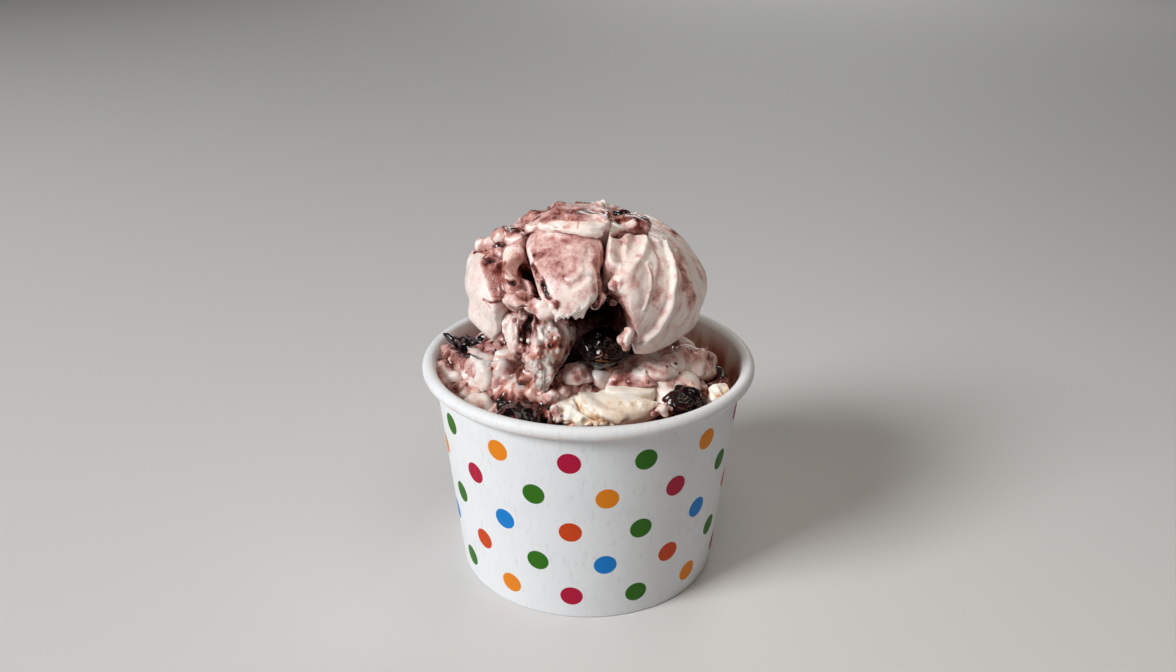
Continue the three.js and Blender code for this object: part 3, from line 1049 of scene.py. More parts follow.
@dataclass(frozen=True)
class CupSizes:
    """Sizes of the paper cup, in mm.

    Attributes:
        rim_diameter: Over the rolled rim.
        base_diameter: Over the foot.
        height: Of the whole cup.
        bead_diameter: Of the rim's bead.
        board: Thickness of the wall's board.
        floor_board: Thickness of the floor's board.
        recess: How high the floor's underside stands over the table.
        foot_fold: How high the wall's turned-in edge ends.
        foot_bend: Mid-board radius of the foot's two bends.
        skirt_foot: How high the floor's skirt begins.
        skirt_bend: Mid-board radius of the bend from the skirt to the floor.
        gap: Space between the skirt and the board on either side of it.
        lap_width: Width of the lap in the wall.
        lap_share: How far the lap stands out, as a share of the board's thickness.
        lap_edge: Width of the lap's outer edge.
        lap_end: How far under the top the lap begins to sink and where it has sunk.
    """

    rim_diameter: float = 96.0
    base_diameter: float = 76.8
    height: float = 64.8
    bead_diameter: float = 3.8
    board: float = 0.5
    floor_board: float = 0.4
    recess: float = 7.0
    foot_fold: float = 6.2
    foot_bend: float = 0.4
    skirt_foot: float = 2.1
    skirt_bend: float = 1.1
    gap: float = 0.3
    lap_width: float = 6.0
    lap_share: float = 0.9
    lap_edge: float = 0.25
    lap_end: tuple[float, float] = (5.5, 4.0)

    @property
    def bead_radius(self) -> float:
        """Radius of the rim's bead."""
        return self.bead_diameter / 2

    @property
    def bead_centre(self) -> tuple[float, float]:
        """Radius and height of the bead's middle."""
        return self.rim_diameter / 2 - self.bead_radius, self.height - self.bead_radius

    @property
    def foot_radius(self) -> float:
        """Mid-board radius of the wall at the table."""
        return (self.base_diameter - self.board) / 2

    @property
    def lean(self) -> float:
        """How much the wall's radius grows for each mm of height."""
        radius, level = self.bead_centre
        return (radius - self.bead_radius + self.board / 2 - self.foot_radius) / level

    @property
    def fold_space(self) -> float:
        """From the wall to its turned-in edge, mid board to mid board."""
        return self.board + self.floor_board + 2 * self.gap

    def wall(self, height: Any) -> Any:
        """Mid-board radius of the wall at a height."""
        return self.foot_radius + self.lean * height


def arc(centre: tuple[float, float], radius: float, start: float, end: float, steps: int) -> Array:
    """Points of an arc in the radius and height plane, from one angle in degrees to another."""
    a = np.radians(np.linspace(start, end, steps + 1))
    return np.stack([centre[0] + radius * np.cos(a), centre[1] + radius * np.sin(a)], axis=-1)


def board_outline(line: Array, thickness: float) -> Array:
    """Closed outline of board that follows a mid-board line, mitred at its corners.

    Args:
        line: The line's (radius, height) points.
        thickness: The board's thickness.

    Returns:
        The points along the right of the line, then back along its left.
    """
    along = unit(np.diff(line, axis=0))
    sideways = np.stack([-along[:, 1], along[:, 0]], axis=-1)
    before = np.vstack([sideways[:1], sideways])
    after = np.vstack([sideways, sideways[-1:]])
    mitre = (before + after) / (1 + np.einsum("ij,ij->i", before, after))[:, None]
    return np.vstack([line - mitre * thickness / 2, (line + mitre * thickness / 2)[::-1]])


def fill_in(line: Array, step: float) -> Array:
    """The same line with points added so that no stretch is longer than step."""
    runs = []
    for start, end in zip(line[:-1], line[1:]):
        count = max(1, math.ceil(math.dist(start, end) / step))
        runs.append(blend(start, end, np.arange(count)[:, None] / count))
    return np.vstack([*runs, line[-1:]])


@dataclass(frozen=True)
class PaperCup:
    """The cup: its printed wall with the rolled rim, and its set-in floor.

    Attributes:
        sizes: The cup's sizes.
        around: Number of points round each ring.
        wall_step: The longest stretch between two points along the board, in mm.
        stain_and_shade_levels: Levels at which the stain and the painted shade inside begin to fade and at
            which they end, in mm.
    """

    sizes: CupSizes = CupSizes()
    around: int = 360
    wall_step: float = 1.6
    stain_and_shade_levels: tuple[float, float] = (54.0, 64.5)

    def wall_line(self) -> Array:
        """The wall's mid-board line: down the turned-in edge, round the foot, up and round the rim."""
        s = self.sizes
        inner = s.foot_radius - s.fold_space
        level = s.board / 2 + s.foot_bend
        line = np.vstack([
            [[inner + s.lean * s.foot_fold, s.foot_fold]],
            arc((inner + s.foot_bend, level), s.foot_bend, 180, 270, 5),
            arc((s.foot_radius - s.foot_bend, level), s.foot_bend, 270, 360, 5),
            arc(s.bead_centre, s.bead_radius - s.board / 2, 174, -112, 30),
        ])
        return fill_in(line, self.wall_step)

    def floor_line(self) -> Array:
        """The floor's mid-board line: up its skirt, round the bend and in to the middle."""
        s = self.sizes
        inset = s.fold_space / 2
        level = s.recess + s.floor_board / 2 - s.skirt_bend
        line = np.vstack([
            [[s.wall(s.skirt_foot) - inset, s.skirt_foot]],
            arc((s.wall(level) - inset - s.skirt_bend, level), s.skirt_bend, 0, 90, 6),
            [[0.02, s.recess + s.floor_board / 2]],
        ])
        return fill_in(line, self.wall_step)

    def lap(self, azimuth: Array, height: Array) -> Array:
        """How far the wall stands out where its ends lap, up the middle of the back."""
        s = self.sizes
        off = np.radians(np.mod(azimuth, 360.0) - 180.0) * s.wall(height)
        half = s.lap_width / 2
        step = smooth(off, -half, -half + s.lap_edge) * (1 - smooth(off, 0.0, half))
        start, end = (s.height - below for below in s.lap_end)
        return s.board * s.lap_share * step * (1 - smooth(height, start, end))

    def turned(self, name: str, line: Array, thickness: float, lapped: bool) -> bpy.types.Object:
        """Turns board about the cup's axis.

        Each outline point sweeps a ring of radius * (sin a, -cos a). The UV map holds the azimuth, from the
        back round the front to the back again, and the height as a share of the cup's.

        Args:
            name: The piece's name.
            line: The mid-board line.
            thickness: The board's thickness.
            lapped: True if the board's ends lap at the back.

        Returns:
            The piece, with its masks.
        """
        outline = board_outline(line, thickness)
        count = len(outline)
        azimuth = -180.0 + 360.0 * np.arange(self.around) / self.around
        outside = (np.arange(count) < len(line)) & (outline[:, 0] > self.sizes.wall(outline[:, 1]) - 0.1)
        radius = np.repeat(outline[:, :1], self.around, axis=1)
        if lapped:
            radius = radius + self.lap(azimuth[None, :], outline[:, 1:]) * outside[:, None]
        a = np.radians(azimuth)[None, :]
        height = np.repeat(outline[:, 1:], self.around, axis=1)
        points = np.stack([radius * np.sin(a), -radius * np.cos(a), height], axis=-1).reshape(-1, 3)
        row = np.arange(count)[:, None]
        column = np.arange(self.around)[None, :]
        here, next_row = row * self.around, (row + 1) % count * self.around
        on = (column + 1) % self.around
        quads = np.stack([here + column, here + on, next_row + on, next_row + column], axis=-1).reshape(-1, 4)
        obj = mesh_object(name, points, quads)
        turn = np.broadcast_to(column[..., None] + np.array([0, 1, 1, 0]), (count, self.around, 4))
        uv = np.stack([turn.reshape(-1, 4) / self.around, points[quads, 2] / self.sizes.height], axis=-1)
        layer = obj.data.uv_layers.new(name="print")
        layer.data.foreach_set("uv", uv.astype(np.float32).ravel())
        paint_points(obj, "printed", np.repeat(outside, self.around))
        # the inside's mask for gelato stain and painted shade: full low down, fading out towards the rim
        low, high = self.stain_and_shade_levels
        inside = ~outside & (outline[:, 1] > low - 10.0) & (outline[:, 1] < high)
        paint_points(obj, "stain_and_shade", (inside[:, None] * (1 - smooth(height, low, high))).ravel())
        return obj

    def build(self) -> None:
        """Makes and dresses the wall and the floor."""
        finish = BoardFinish().build(self.sizes)
        wall = self.turned("cup_paper_wall", self.wall_line(), self.sizes.board, True)
        dress(wall, finish, ["cup_wall"])
        floor = self.turned("cup_paper_floor", self.floor_line(), self.sizes.floor_board, False)
        dress(floor, finish, ["cup_base"])


# ---------------------------------------------------------------- chunks


@dataclass(frozen=True)
class Chunk:
    """A chunk of gelato that lies in or on the rest.

    Attributes:
        radii: Its radii across, from front to back and up, in mm.
        tone: Its share of syrup.
        torn: How torn it is.
        turn: How far it is turned, in degrees.
        cuts: Number of planes that cut it.
    """

    radii: Point
    tone: float
    torn: float = 0.5
    turn: float = 0.0
    cuts: int = 9

    def build(self, middle: Array, seed: int, fine: float = 9.0) -> Skin:
        """The chunk's skin: a ball cut by soft random planes, then pushed in and out by noise.

        The cuts scale the way out to a point by 1.16 * (1 + the sum of (way . normal / offset)^7)^(-1/7). The
        noise is 1.4 times as wide as the largest radius.

        Args:
            middle: Its middle, in mm.
            seed: Picks its cuts and its noise.
            fine: Number of rings for each mm of its largest radius, up to 6 mm. There are 18 at least.

        Returns:
            The skin.
        """
        grain = Noise(seed)
        random = np.random.default_rng(seed)
        reach = max(self.radii)
        rings = int(np.clip(reach * fine, 18, 6 * fine))
        skin = ball(middle, self.radii, (rings, int(rings * 1.5)), 0.2, self.turn)
        planes = unit(random.normal(size=(self.cuts, 3))) / random.uniform(0.62, 0.95, (self.cuts, 1))
        push = np.maximum(unit(skin.rings - middle) @ planes.T, 0.0)
        cut = 1.16 * (1 + np.sum(push**7, axis=-1)) ** (-1 / 7)
        skin.rings = middle + (skin.rings - middle) * cut[..., None]
        relief = Relief(skin, grain, 0.3, self.tone, self.torn)
        wide = grain.fractal(skin.rings, reach * 1.4, 3, 0.42)
        relief.rise += 0.44 * reach * wide
        relief.ripple = relief.ripple + 0.04 - 0.35 * wide
        return relief.finish(min(0.6, reach * 0.15), 0.2, 4.4, 0.5)


def grit(skins: Sequence[Skin], count: int, seed: int) -> list[Skin]:
    """Crumbs that lie on skins: small uneven balls at random points of them that face up or forward.

    Args:
        skins: What they lie on.
        count: How many.
        seed: Picks their places, sizes and tones.

    Returns:
        The crumbs' skins.
    """
    random = np.random.default_rng(seed)
    places = np.vstack([skin.rings.reshape(-1, 3) for skin in skins])
    ways = np.vstack([skin.normals.reshape(-1, 3) for skin in skins])
    places = places[ways @ [0.0, -0.5, 0.85] > 0.45]
    made = []
    for place in places[random.integers(len(places), size=count)]:
        radii = random.uniform(0.25, 0.6) * random.uniform(0.7, 1.7, 3)
        skin = ball(place, radii, (7, 11), 0.0, random.uniform(0, 180))
        skin.rings = skin.rings + random.normal(scale=0.06, size=skin.rings.shape)
        shape = skin.rings.shape[:2]
        skin.masks = {"ripple": np.full(shape, random.uniform(0.1, 0.66)), "torn": np.full(shape, 0.6)}
        made.append(skin)
    return made


# ---------------------------------------------------------------- scoop


@dataclass(frozen=True)
class Scoop:
    """The big folded scoop: a shell with an open mouth, and the sheets that lie over and in it.

    Attributes:
        centre: The middle of the ball that it is shaped from, in mm.
        radii: That ball's radii, in mm.
        shell_size: Number of the shell's rings and of points round each.
        back_folds: Number of folds that would go all round it.
        crumbs: Number of crumbs on the crumble.
        fringe_rows: Rows of the frame in which the tongue's fringe begins and is full.
    """

    centre: Point = (-0.5, 0.0, 87.6)
    radii: Point = (34.3, 30.0, 20.4)
    shell_size: tuple[int, int] = (250, 372)
    back_folds: int = 15
    crumbs: int = 50
    fringe_rows: tuple[float, float] = (296.0, 312.0)

    def on_it(self, spots: Any, lift: Any = 0.0) -> Array:
        """Points of the scoop's ball, raised by lift, seen at frame places, or nearest the line of sight.

        Args:
            spots: Frame places, x and y one pair after the other.
            lift: How far over the ball, in mm, one number or one for each place.

        Returns:
            The points.
        """
        rays = SIGHT.rays(spots) / self.radii
        start = (np.asarray(SIGHT.eye) - self.centre) / self.radii
        a, b = np.einsum("ij,ij->i", rays, rays), rays @ start
        hit = (-b - np.sqrt(np.maximum(b * b - a * (start @ start - 1.0), 0.0))) / a
        return self.raised(start + hit[:, None] * rays, lift)

    def raised(self, ways: Array, lift: Any) -> Array:
        """Points over the ball: centre + radii * way + lift * normal."""
        ways = unit(ways)
        height = np.broadcast_to(np.asarray(lift, float), ways.shape[:-1])
        return self.centre + self.radii * ways + unit(ways / self.radii) * height[..., None]

    def out_at(self, points: Array) -> Array:
        """The ball's outward directions at points."""
        return unit((points - self.centre) / np.square(self.radii))

    def back_rise(self, azimuth: Array, elevation: Array) -> Array:
        """Folds round the back: each petal swells to a lip and drops under the next one."""
        turn = np.mod((azimuth - 0.45 * elevation) * self.back_folds / 360.0, 1.0)
        petal = smooth(turn, 0.0, 0.82) * (1 - smooth(turn, 0.86, 1.0))
        behind = smooth(np.abs(azimuth), 78.0, 100.0)
        return 1.5 * behind * (petal - 0.55) * np.cos(np.radians(elevation)) ** 0.7

    def shell(self) -> Skin:
        """The shell: folds on the right, a smooth lobe on the left, and the mouth between them."""
        skin = ball(self.centre, self.radii, self.shell_size, 0.42)
        way = (skin.rings - self.centre) / self.radii
        azimuth = np.degrees(np.arctan2(way[..., 0], -way[..., 1]))
        elevation = np.degrees(np.arcsin(np.clip(way[..., 2], -1, 1)))
        grain = Noise(11)
        across = (azimuth - 0.35 * elevation) * 0.55
        streaks = grain.fractal(np.stack([across, elevation * 0.07, across * 0.0], axis=-1), 1.7, 4, 0.6)
        cloud = grain.fractal(skin.rings, 16.0, 3)
        behind = smooth(np.abs(azimuth), 70.0, 110.0)
        veins = grain.veins(skin.rings + 2.0 * grain.shift(skin.rings, 9.0), 17.0, 0.26)
        right = smooth(azimuth, 10.0, 30.0)
        relief = Relief(skin, grain, 0.25)
        relief.ripple = (0.08 + 0.04 * right + 0.1 * cloud + (0.07 + 0.12 * right) * streaks
                         + 0.24 * behind * veins)
        relief.rise = self.back_rise(azimuth, elevation)
        relief.draw(SHELL_MARKS)
        return relief.finish(0.9, 0.16)

    def tongue(self) -> Skin:
        """The broad tongue that hangs from the crown into the mouth."""
        left = self.on_it((522, 229, 521, 240, 523, 252, 526, 265, 531, 282, 537, 300, 548, 317), -4.2)
        right = self.on_it((607, 229, 606, 240, 603, 252, 601, 265, 600, 281, 598, 299, 584, 317), -4.2)
        bulge = (2.2, 2.0, 1.6, 1.4, 1.2, 1.0, 0.6)
        skin = sheet(left, right, self.out_at((left + right) / 2), 8.5, bulge, (170, 250), 0.45, 7.0)
        grain = Noise(23)
        relief = Relief(skin, grain, 0.5)
        edge = smooth(relief.seen[..., 1], *self.fringe_rows)
        fringe = edge * (0.4 + 0.9 * grain.fractal(skin.rings * [1, 1, 0.4], 2.6, 4, 0.6))
        relief.skin.rings = skin.rings + fringe[..., None] * np.array([0.0, -0.2, -1.2])
        slanted = skin.rings @ np.array([[1.0, 0, 0.4], [0, 1, 0], [-0.3, 0, 0.5]])
        marble = grain.fractal(slanted, 6.0, 4, 0.55)
        relief.ripple = 0.24 + 0.2 * marble + 0.2 * grain.veins(slanted, 9.0, 0.07)
        inward = smooth(-np.einsum("...k,...k", relief.out, self.out_at(skin.rings)), -0.45, 0.2)
        relief.ripple = blend(relief.ripple, 0.85, inward)
        relief.torn = relief.torn + 0.8 * inward
        relief.draw(TONGUE_MARKS)
        return relief.finish(0.8, 0.3, 2.2)

    def crown(self) -> Skin:
        """The thick sheet folded over the top, whose lip overhangs the tongue."""
        front = self.on_it((512, 238, 522, 233, 534, 233, 552, 235, 572, 237, 590, 238, 604, 236, 614, 230),
                           (-2.6, -1.4, 0.2, 1.2, 1.5, 1.5, 1.2, -0.5))
        ways = toward(np.array([-118, -128, -140, -155, -175, 165, 140, 118]),
                      np.array([62, 64, 66, 68, 70, 70, 72, 74]))
        back = self.raised(ways, (-7, -5.6, -4.2, -3.6, -3.2, -3, -3, -3))
        out = self.out_at((front + back) / 2)
        thick = (3, 3.6, 4.2, 4.6, 4.6, 4.4, 4, 3.2)
        bulge = (-1.8, -1.2, 1.0, 2.4, 2.7, 2.6, 2.0, 1.2)
        skin = sheet(back, front, out, thick, bulge, (190, 250), 0.5, 3.0)
        grain = Noise(31)
        ripple = 0.43 + 0.16 * grain.fractal(skin.rings, 6.0, 3)
        return Relief(skin, grain, 0.6, ripple, 0.3).draw(CROWN_MARKS).finish(0.7, 0.7, 4.0)

    def hump(self) -> Skin:
        """The torn hump at the crown's right."""
        middle = self.on_it((630, 218), -2.4)[0]
        skin = ball(middle, (6.6, 4.4, 3.0), (80, 120), 0.3, -12.0)
        return Relief(skin, Noise(37), 0.7, 0.64, 0.4).draw(HUMP_MARKS).finish(1.0, 0.6, 4.0)

    def finger(self) -> Skin:
        """The lumpy finger that hangs between the left lobe and the mouth."""
        left = self.on_it((501, 238, 499, 247, 499, 258, 500, 271, 503, 284), (-3.4, -2.8, -2.6, -2.4, -2.6))
        right = self.on_it((520, 240, 521, 249, 511, 258, 510, 271, 514, 284), (-3.6, -3.2, -2.8, -2.4, -2.6))
        skin = sheet(left, right, self.out_at((left + right) / 2), 5.0, 0.6, (90, 100), 0.7, 3.0)
        return Relief(skin, Noise(41), 0.4, 0.2, 0.3).draw(FINGER_MARKS).finish(1.0, 0.6, 3.2)

    def crumble(self) -> Skin:
        """The torn mass that hangs from under the tongue to a tip over the gelato below."""
        left = SIGHT.on_level((500, 300, 503, 322, 508, 346, 523, 364, 536, 380, 542, 391),
                              (86.0, 80.5, 74.5, 70.2, 66.0, 62.6))
        right = SIGHT.on_level((547, 308, 571, 322, 573, 340, 566, 354, 558, 372, 549, 391),
                               (84.5, 80.0, 75.5, 72.0, 67.6, 62.6))
        thick, bulge = (9, 11, 11, 9, 7, 4.5), (1.5, 2.4, 2.6, 2.2, 1.6, 0.8)
        skin = sheet(left, right, (-0.12, -1.0, 0.1), thick, bulge, (170, 190), 0.8, 2.6)
        grain = Noise(43)
        tall = grain.fractal(skin.rings * [1.0, 0.6, 0.38], 3.2, 4, 0.55)
        relief = Relief(skin, grain, 0.6, 0.46 - 0.22 * tall, 0.9)
        relief.rise += 0.9 * tall
        return relief.draw(CRUMBLE_MARKS).finish(0.55, 0.3, 2.8, 0.4)

    def lumps(self) -> list[Skin]:
        """The chunks that lie on and in the scoop."""
        return [chunk.build(self.on_it(seen, lift)[0], SCOOP_SEED + index)
                for index, (seen, lift, chunk) in enumerate(SCOOP_LUMPS)]

    def build(self, finishes: Finishes) -> None:
        """Makes and dresses the scoop's pieces."""
        crumble = self.crumble()
        made = {
            "scoop_shell": [self.shell()],
            "scoop_tongue": [self.tongue()],
            "scoop_crown": [self.crown()],
            "scoop_hump": [self.hump()],
            "scoop_finger": [self.finger()],
            "scoop_crumble": [crumble, *grit([crumble], self.crumbs, 51)],
            "scoop_lumps": self.lumps(),
        }
        for name, skins in made.items():
            dress(joined(name, skins), finishes.ripple, ["gelato_scoop"])


SHELL_MARKS = (
    # what stands in from the ball at the upper left and the upper right, and the syrup under the crown
    Mark((505, 225), 2.0, 9.0, rise=-1.6),
    Mark((522, 216, 536, 210), 3.0, 7.0, rise=-1.6),
    Mark((648, 214, 666, 222, 684, 234, 696, 250), 7.0, 9.0, rise=-3.0),
    Mark((480, 324, 490, 336, 501, 343), 2.0, 5.5, rise=2.6),
    Mark((654, 346, 672, 340, 688, 332), 2.0, 6.0, rise=1.8),
    Mark((500, 224, 528, 205, 552, 194, 642, 194, 642, 216, 612, 216, 560, 208, 532, 226), 0.0, 2.0,
         tone=0.48, torn=0.45, area=True),
    # the left lobe's rim and what lies inside it
    Mark((472, 246, 482, 228, 500, 220, 526, 214, 528, 236, 506, 246, 486, 252), 0.0, 1.4, rise=-1.2,
         tone=0.46, torn=0.5, area=True),
    Mark((482, 256, 492, 248, 514, 246, 514, 296, 501, 300, 496, 300, 490, 288, 485, 272), 0.0, 0.8,
         rise=-2.4, tone=0.5, torn=0.5, area=True),
    # the wall inside the slit by the finger: sunk in and painted darker as shade
    Mark((508, 266, 518, 266, 521, 282, 527, 299, 512, 298, 508, 284), 0.0, 1.0, level=-5.6, tone=0.46,
         torn=0.1, area=True),
    Mark((499, 296, 530, 300, 560, 316, 580, 318, 576, 345, 570, 376, 530, 376, 508, 360, 504, 335, 499, 314),
         0.2, 1.0, level=-8.0, tone=0.6, torn=0.9, area=True),
    Mark((503, 313), 1.6, 1.0, rise=-1.4, tone=0.8, torn=1.0),
    # the mouth, dark and deep
    Mark((524, 232, 606, 232, 604, 258, 608, 267, 615, 270, 616, 280, 615, 289, 624, 298, 627, 312, 632, 326,
          634, 340, 630, 354, 620, 376, 576, 378, 566, 354, 573, 336, 576, 318, 548, 312, 535, 302, 525, 290,
          521, 270, 510, 265, 509, 256, 521, 252), 0.0, 1.0, level=-13.0, tone=0.97, torn=0.4, area=True),
    Mark((620, 306, 622, 322, 628, 340), 0.6, 1.0, rise=-0.6, tone=0.36, torn=0.8),
    # the right lobe's folds: each runs from the top down; the grooves are painted darker as shade and the
    # ridges paler as painted highlight
    Mark((614, 240, 610, 250, 612, 262), 0.5, 3.0, rise=0.8, tone=0.24, paint=0.6),
    Mark((622, 232, 619, 244, 620, 256), 0.3, 1.6, 3.0, rise=-0.7, tone=0.3, paint=0.7),
    Mark((641, 227, 640, 238, 637, 250, 631, 258), 0.3, 1.6, 3.6, rise=-1.1, tone=0.36, paint=0.8),
    Mark((646, 230, 645, 240, 641, 251, 633, 262, 626, 274), 0.4, 2.4, 2.4, rise=0.9, tone=0.06, paint=0.6),
    Mark((649, 229, 653, 240, 660, 250, 664, 262, 663, 273, 661, 284, 656, 296), 0.5, 3.0, 1.4, rise=-0.5,
         tone=0.2, paint=0.6),
    Mark((653, 226, 661, 236, 667, 248, 669, 260), 0.5, 1.8, 3.0, rise=0.6, tone=0.12, paint=0.8),
    Mark((670, 238, 674, 256, 677, 274, 676, 290, 673, 305, 666, 319, 658, 330, 648, 339), 0.6, 5.0, 1.4,
         rise=1.6, tone=0.04, paint=0.6),
    Mark((679, 250, 682, 268, 682, 290, 679, 308, 672, 324), 0.5, 1.2, 3.2, rise=-0.9, tone=0.34, paint=0.6),
    Mark((684, 248, 690, 268, 691, 290, 687, 310, 680, 324), 0.4, 3.0, 1.2, rise=0.8, tone=0.16, paint=0.6),
    Mark((692, 254, 697, 272, 698, 292, 693, 312), 0.4, 1.2, 3.0, rise=-0.7, tone=0.42, paint=0.6),
    Mark((638, 268, 634, 284, 636, 300), 0.4, 2.6, rise=0.5, tone=0.12, paint=0.5),
    Mark((648, 262, 652, 275, 653, 286, 649, 300, 645, 311), 0.15, 0.9, 0.5, rise=0.35, tone=0.02, paint=0.8),
    Mark((650, 264, 654, 276, 655, 287, 651, 300, 647, 312), 0.1, 0.4, rise=-0.4, tone=0.34, paint=0.8),
    # smears of syrup on it
    Mark((689, 252, 691, 270, 693, 296), 1.4, 3.6, tone=0.44, paint=0.75, torn=0.3),
    Mark((697, 282, 698, 296), 0.5, 1.6, tone=0.54, paint=0.6),
    Mark((684, 258, 684, 288), 0.4, 1.4, tone=0.54, paint=0.6),
    Mark((680, 234, 694, 252), 0.8, 2.4, tone=0.36, paint=0.7),
    Mark((654, 240, 660, 256, 664, 272), 0.3, 1.8, tone=0.34, paint=0.5),
    Mark((664, 290, 660, 296, 657, 300), 0.3, 1.1, tone=0.48, paint=0.7),
    Mark((664, 256, 666, 264), 0.3, 1.2, tone=0.4, paint=0.5),
    Mark((640, 255), 0.3, 1.1, tone=0.45, paint=0.8),
    Mark((622, 276, 632, 280), 0.8, 2.2, tone=0.36, paint=0.7),
    Mark((617, 282), 1.0, 1.2, rise=0.6, tone=0.3, torn=0.5),
    Mark((626, 346, 628, 336), 1.2, 1.0, rise=0.6, tone=0.26, torn=0.7),
    # the crack under the hump: sunk in and painted dark as shade
    Mark((614, 234, 623, 229, 631, 226, 640, 225, 648, 226), 0.25, 0.8, 1.4, rise=-1.2, tone=0.75, torn=0.3),
    Mark((672, 228), 0.5, 0.8, rise=0.6, tone=0.1),
    # the left lobe's own creases
    Mark((473, 250, 481, 243, 490, 240), 0.35, 0.6, rise=-0.6, tone=0.88, torn=0.4),
    Mark((480, 236, 490, 231), 0.8, 1.2, rise=0.8, tone=0.12),
    # painted brown shade inside the left lobe's rim, beside its bright edge
    Mark((483, 258, 487, 275, 491, 290, 495, 300), 0.9, 1.4, tone=0.56, paint=0.9, torn=0.3),
    Mark((481, 301, 490, 302, 498, 304), 0.12, 0.4, rise=-0.5, tone=0.7),
    Mark((482, 300, 488, 308), 0.12, 0.5, rise=-0.3, tone=0.4),
    Mark((482, 256, 484, 270, 490, 284, 492, 296, 497, 306), 0.2, 1.6, 0.6, rise=0.7),
)

SCOOP_LUMPS = (
    # where it is seen, how far over the ball, and what it is
    ((488, 239), -2.2, Chunk((4.6, 3.0, 2.2), 0.42, 0.2, -24.0, 4)),
    ((503, 230), -2.2, Chunk((5.0, 3.2, 2.2), 0.5, 0.3, 0.0, 4)),
    ((517, 227), -2.6, Chunk((4.6, 2.8, 2.2), 0.48, 0.3, 0.0, 4)),
    ((486, 255), -2.4, Chunk((2.8, 2.4, 3.2), 0.46, 0.5, 0.0, 5)),
    ((495, 249), -2.4, Chunk((2.8, 2.4, 2.2), 0.44, 0.5, 0.0, 5)),
    ((499, 239), -2.2, Chunk((3.0, 2.4, 2.2), 0.68, 0.4, 0.0, 5)),
    ((622, 213), -1.6, Chunk((3.2, 3.0, 2.0), 0.66, 0.4)),
    ((639, 216), -2.2, Chunk((3.8, 3.0, 2.2), 0.6, 0.4)),
    ((511, 335), -2.4, Chunk((2.4, 3.0, 5.4), 0.14, 0.3, 10.0)),
    ((510, 301), -3.6, Chunk((3.6, 3.4, 1.6), 0.44, 0.4, 0.0, 4)),
    ((524, 305), -3.8, Chunk((5.6, 3.4, 1.4), 0.44, 0.4, -16.0, 4)),
    ((541, 312), -3.8, Chunk((4.8, 3.2, 1.6), 0.38, 0.4, -16.0, 4)),
    ((532, 268), -4.0, Chunk((1.1, 1.2, 1.5), 0.62, 0.8)),
    ((536, 275), -3.8, Chunk((1.3, 1.2, 1.6), 0.58, 0.8)),
    ((540, 283), -3.6, Chunk((1.4, 1.2, 1.6), 0.5, 0.8)),
    ((544, 291), -3.2, Chunk((1.3, 1.2, 1.6), 0.54, 0.8)),
    ((550, 299), -3.0, Chunk((1.4, 1.2, 1.5), 0.46, 0.8)),
    ((598, 286), -4.4, Chunk((1.8, 3.0, 4.4), 0.48, 0.8)),
    ((597, 302), -4.6, Chunk((1.9, 3.0, 2.6), 0.56, 0.9)),
    ((617, 283), -1.8, Chunk((1.7, 2.0, 2.3), 0.2, 0.4)),
    ((627, 342), -1.2, Chunk((2.0, 2.4, 3.0), 0.2, 0.6)),
    ((600, 205), -0.9, Chunk((2.2, 2.2, 1.8), 0.14, 0.4)),
)

TONGUE_MARKS = (
    Mark((528, 242, 533, 244), 0.8, 1.6, tone=0.06, paint=0.8),
    Mark((538, 247, 550, 257, 566, 262, 580, 260, 592, 250), 2.4, 4.0, tone=0.45, paint=0.75),
    Mark((543, 262, 548, 276, 560, 284), 1.4, 3.4, tone=0.44, paint=0.7),
    Mark((548, 241, 580, 238, 598, 240), 0.8, 2.4, tone=0.44, paint=0.7),
    Mark((531, 258, 536, 255, 541, 251), 0.7, 1.0, tone=0.58),
    Mark((587, 277, 578, 282, 570, 285), 0.4, 1.0, tone=0.56, rise=-0.4, paint=0.9),
    Mark((592, 268, 582, 272, 571, 277), 0.5, 1.8, tone=0.2, rise=0.4, paint=0.8),
    Mark((590, 290, 574, 296, 556, 300, 546, 304), 2.0, 3.0, tone=0.14, paint=0.8),
    Mark((592, 250, 588, 262, 590, 274), 0.2, 1.4, rise=-0.4, tone=0.2),
    Mark((552, 314, 568, 317, 584, 312, 592, 302), 1.0, 1.2, tone=0.04, torn=0.7),
    Mark((526, 250, 529, 262), 0.4, 0.8, tone=0.05),
    Mark((530, 266, 536, 276, 541, 286), 0.5, 0.9, tone=0.68, torn=1.0),
    Mark((543, 291, 549, 299, 556, 305), 0.3, 0.9, tone=0.62, torn=1.0),
    Mark((541, 300, 548, 308), 0.6, 0.8, tone=0.06, torn=0.8),
    Mark((599, 262, 597, 276, 596, 290), 0.5, 1.2, tone=0.5, torn=0.6, paint=0.8),
)

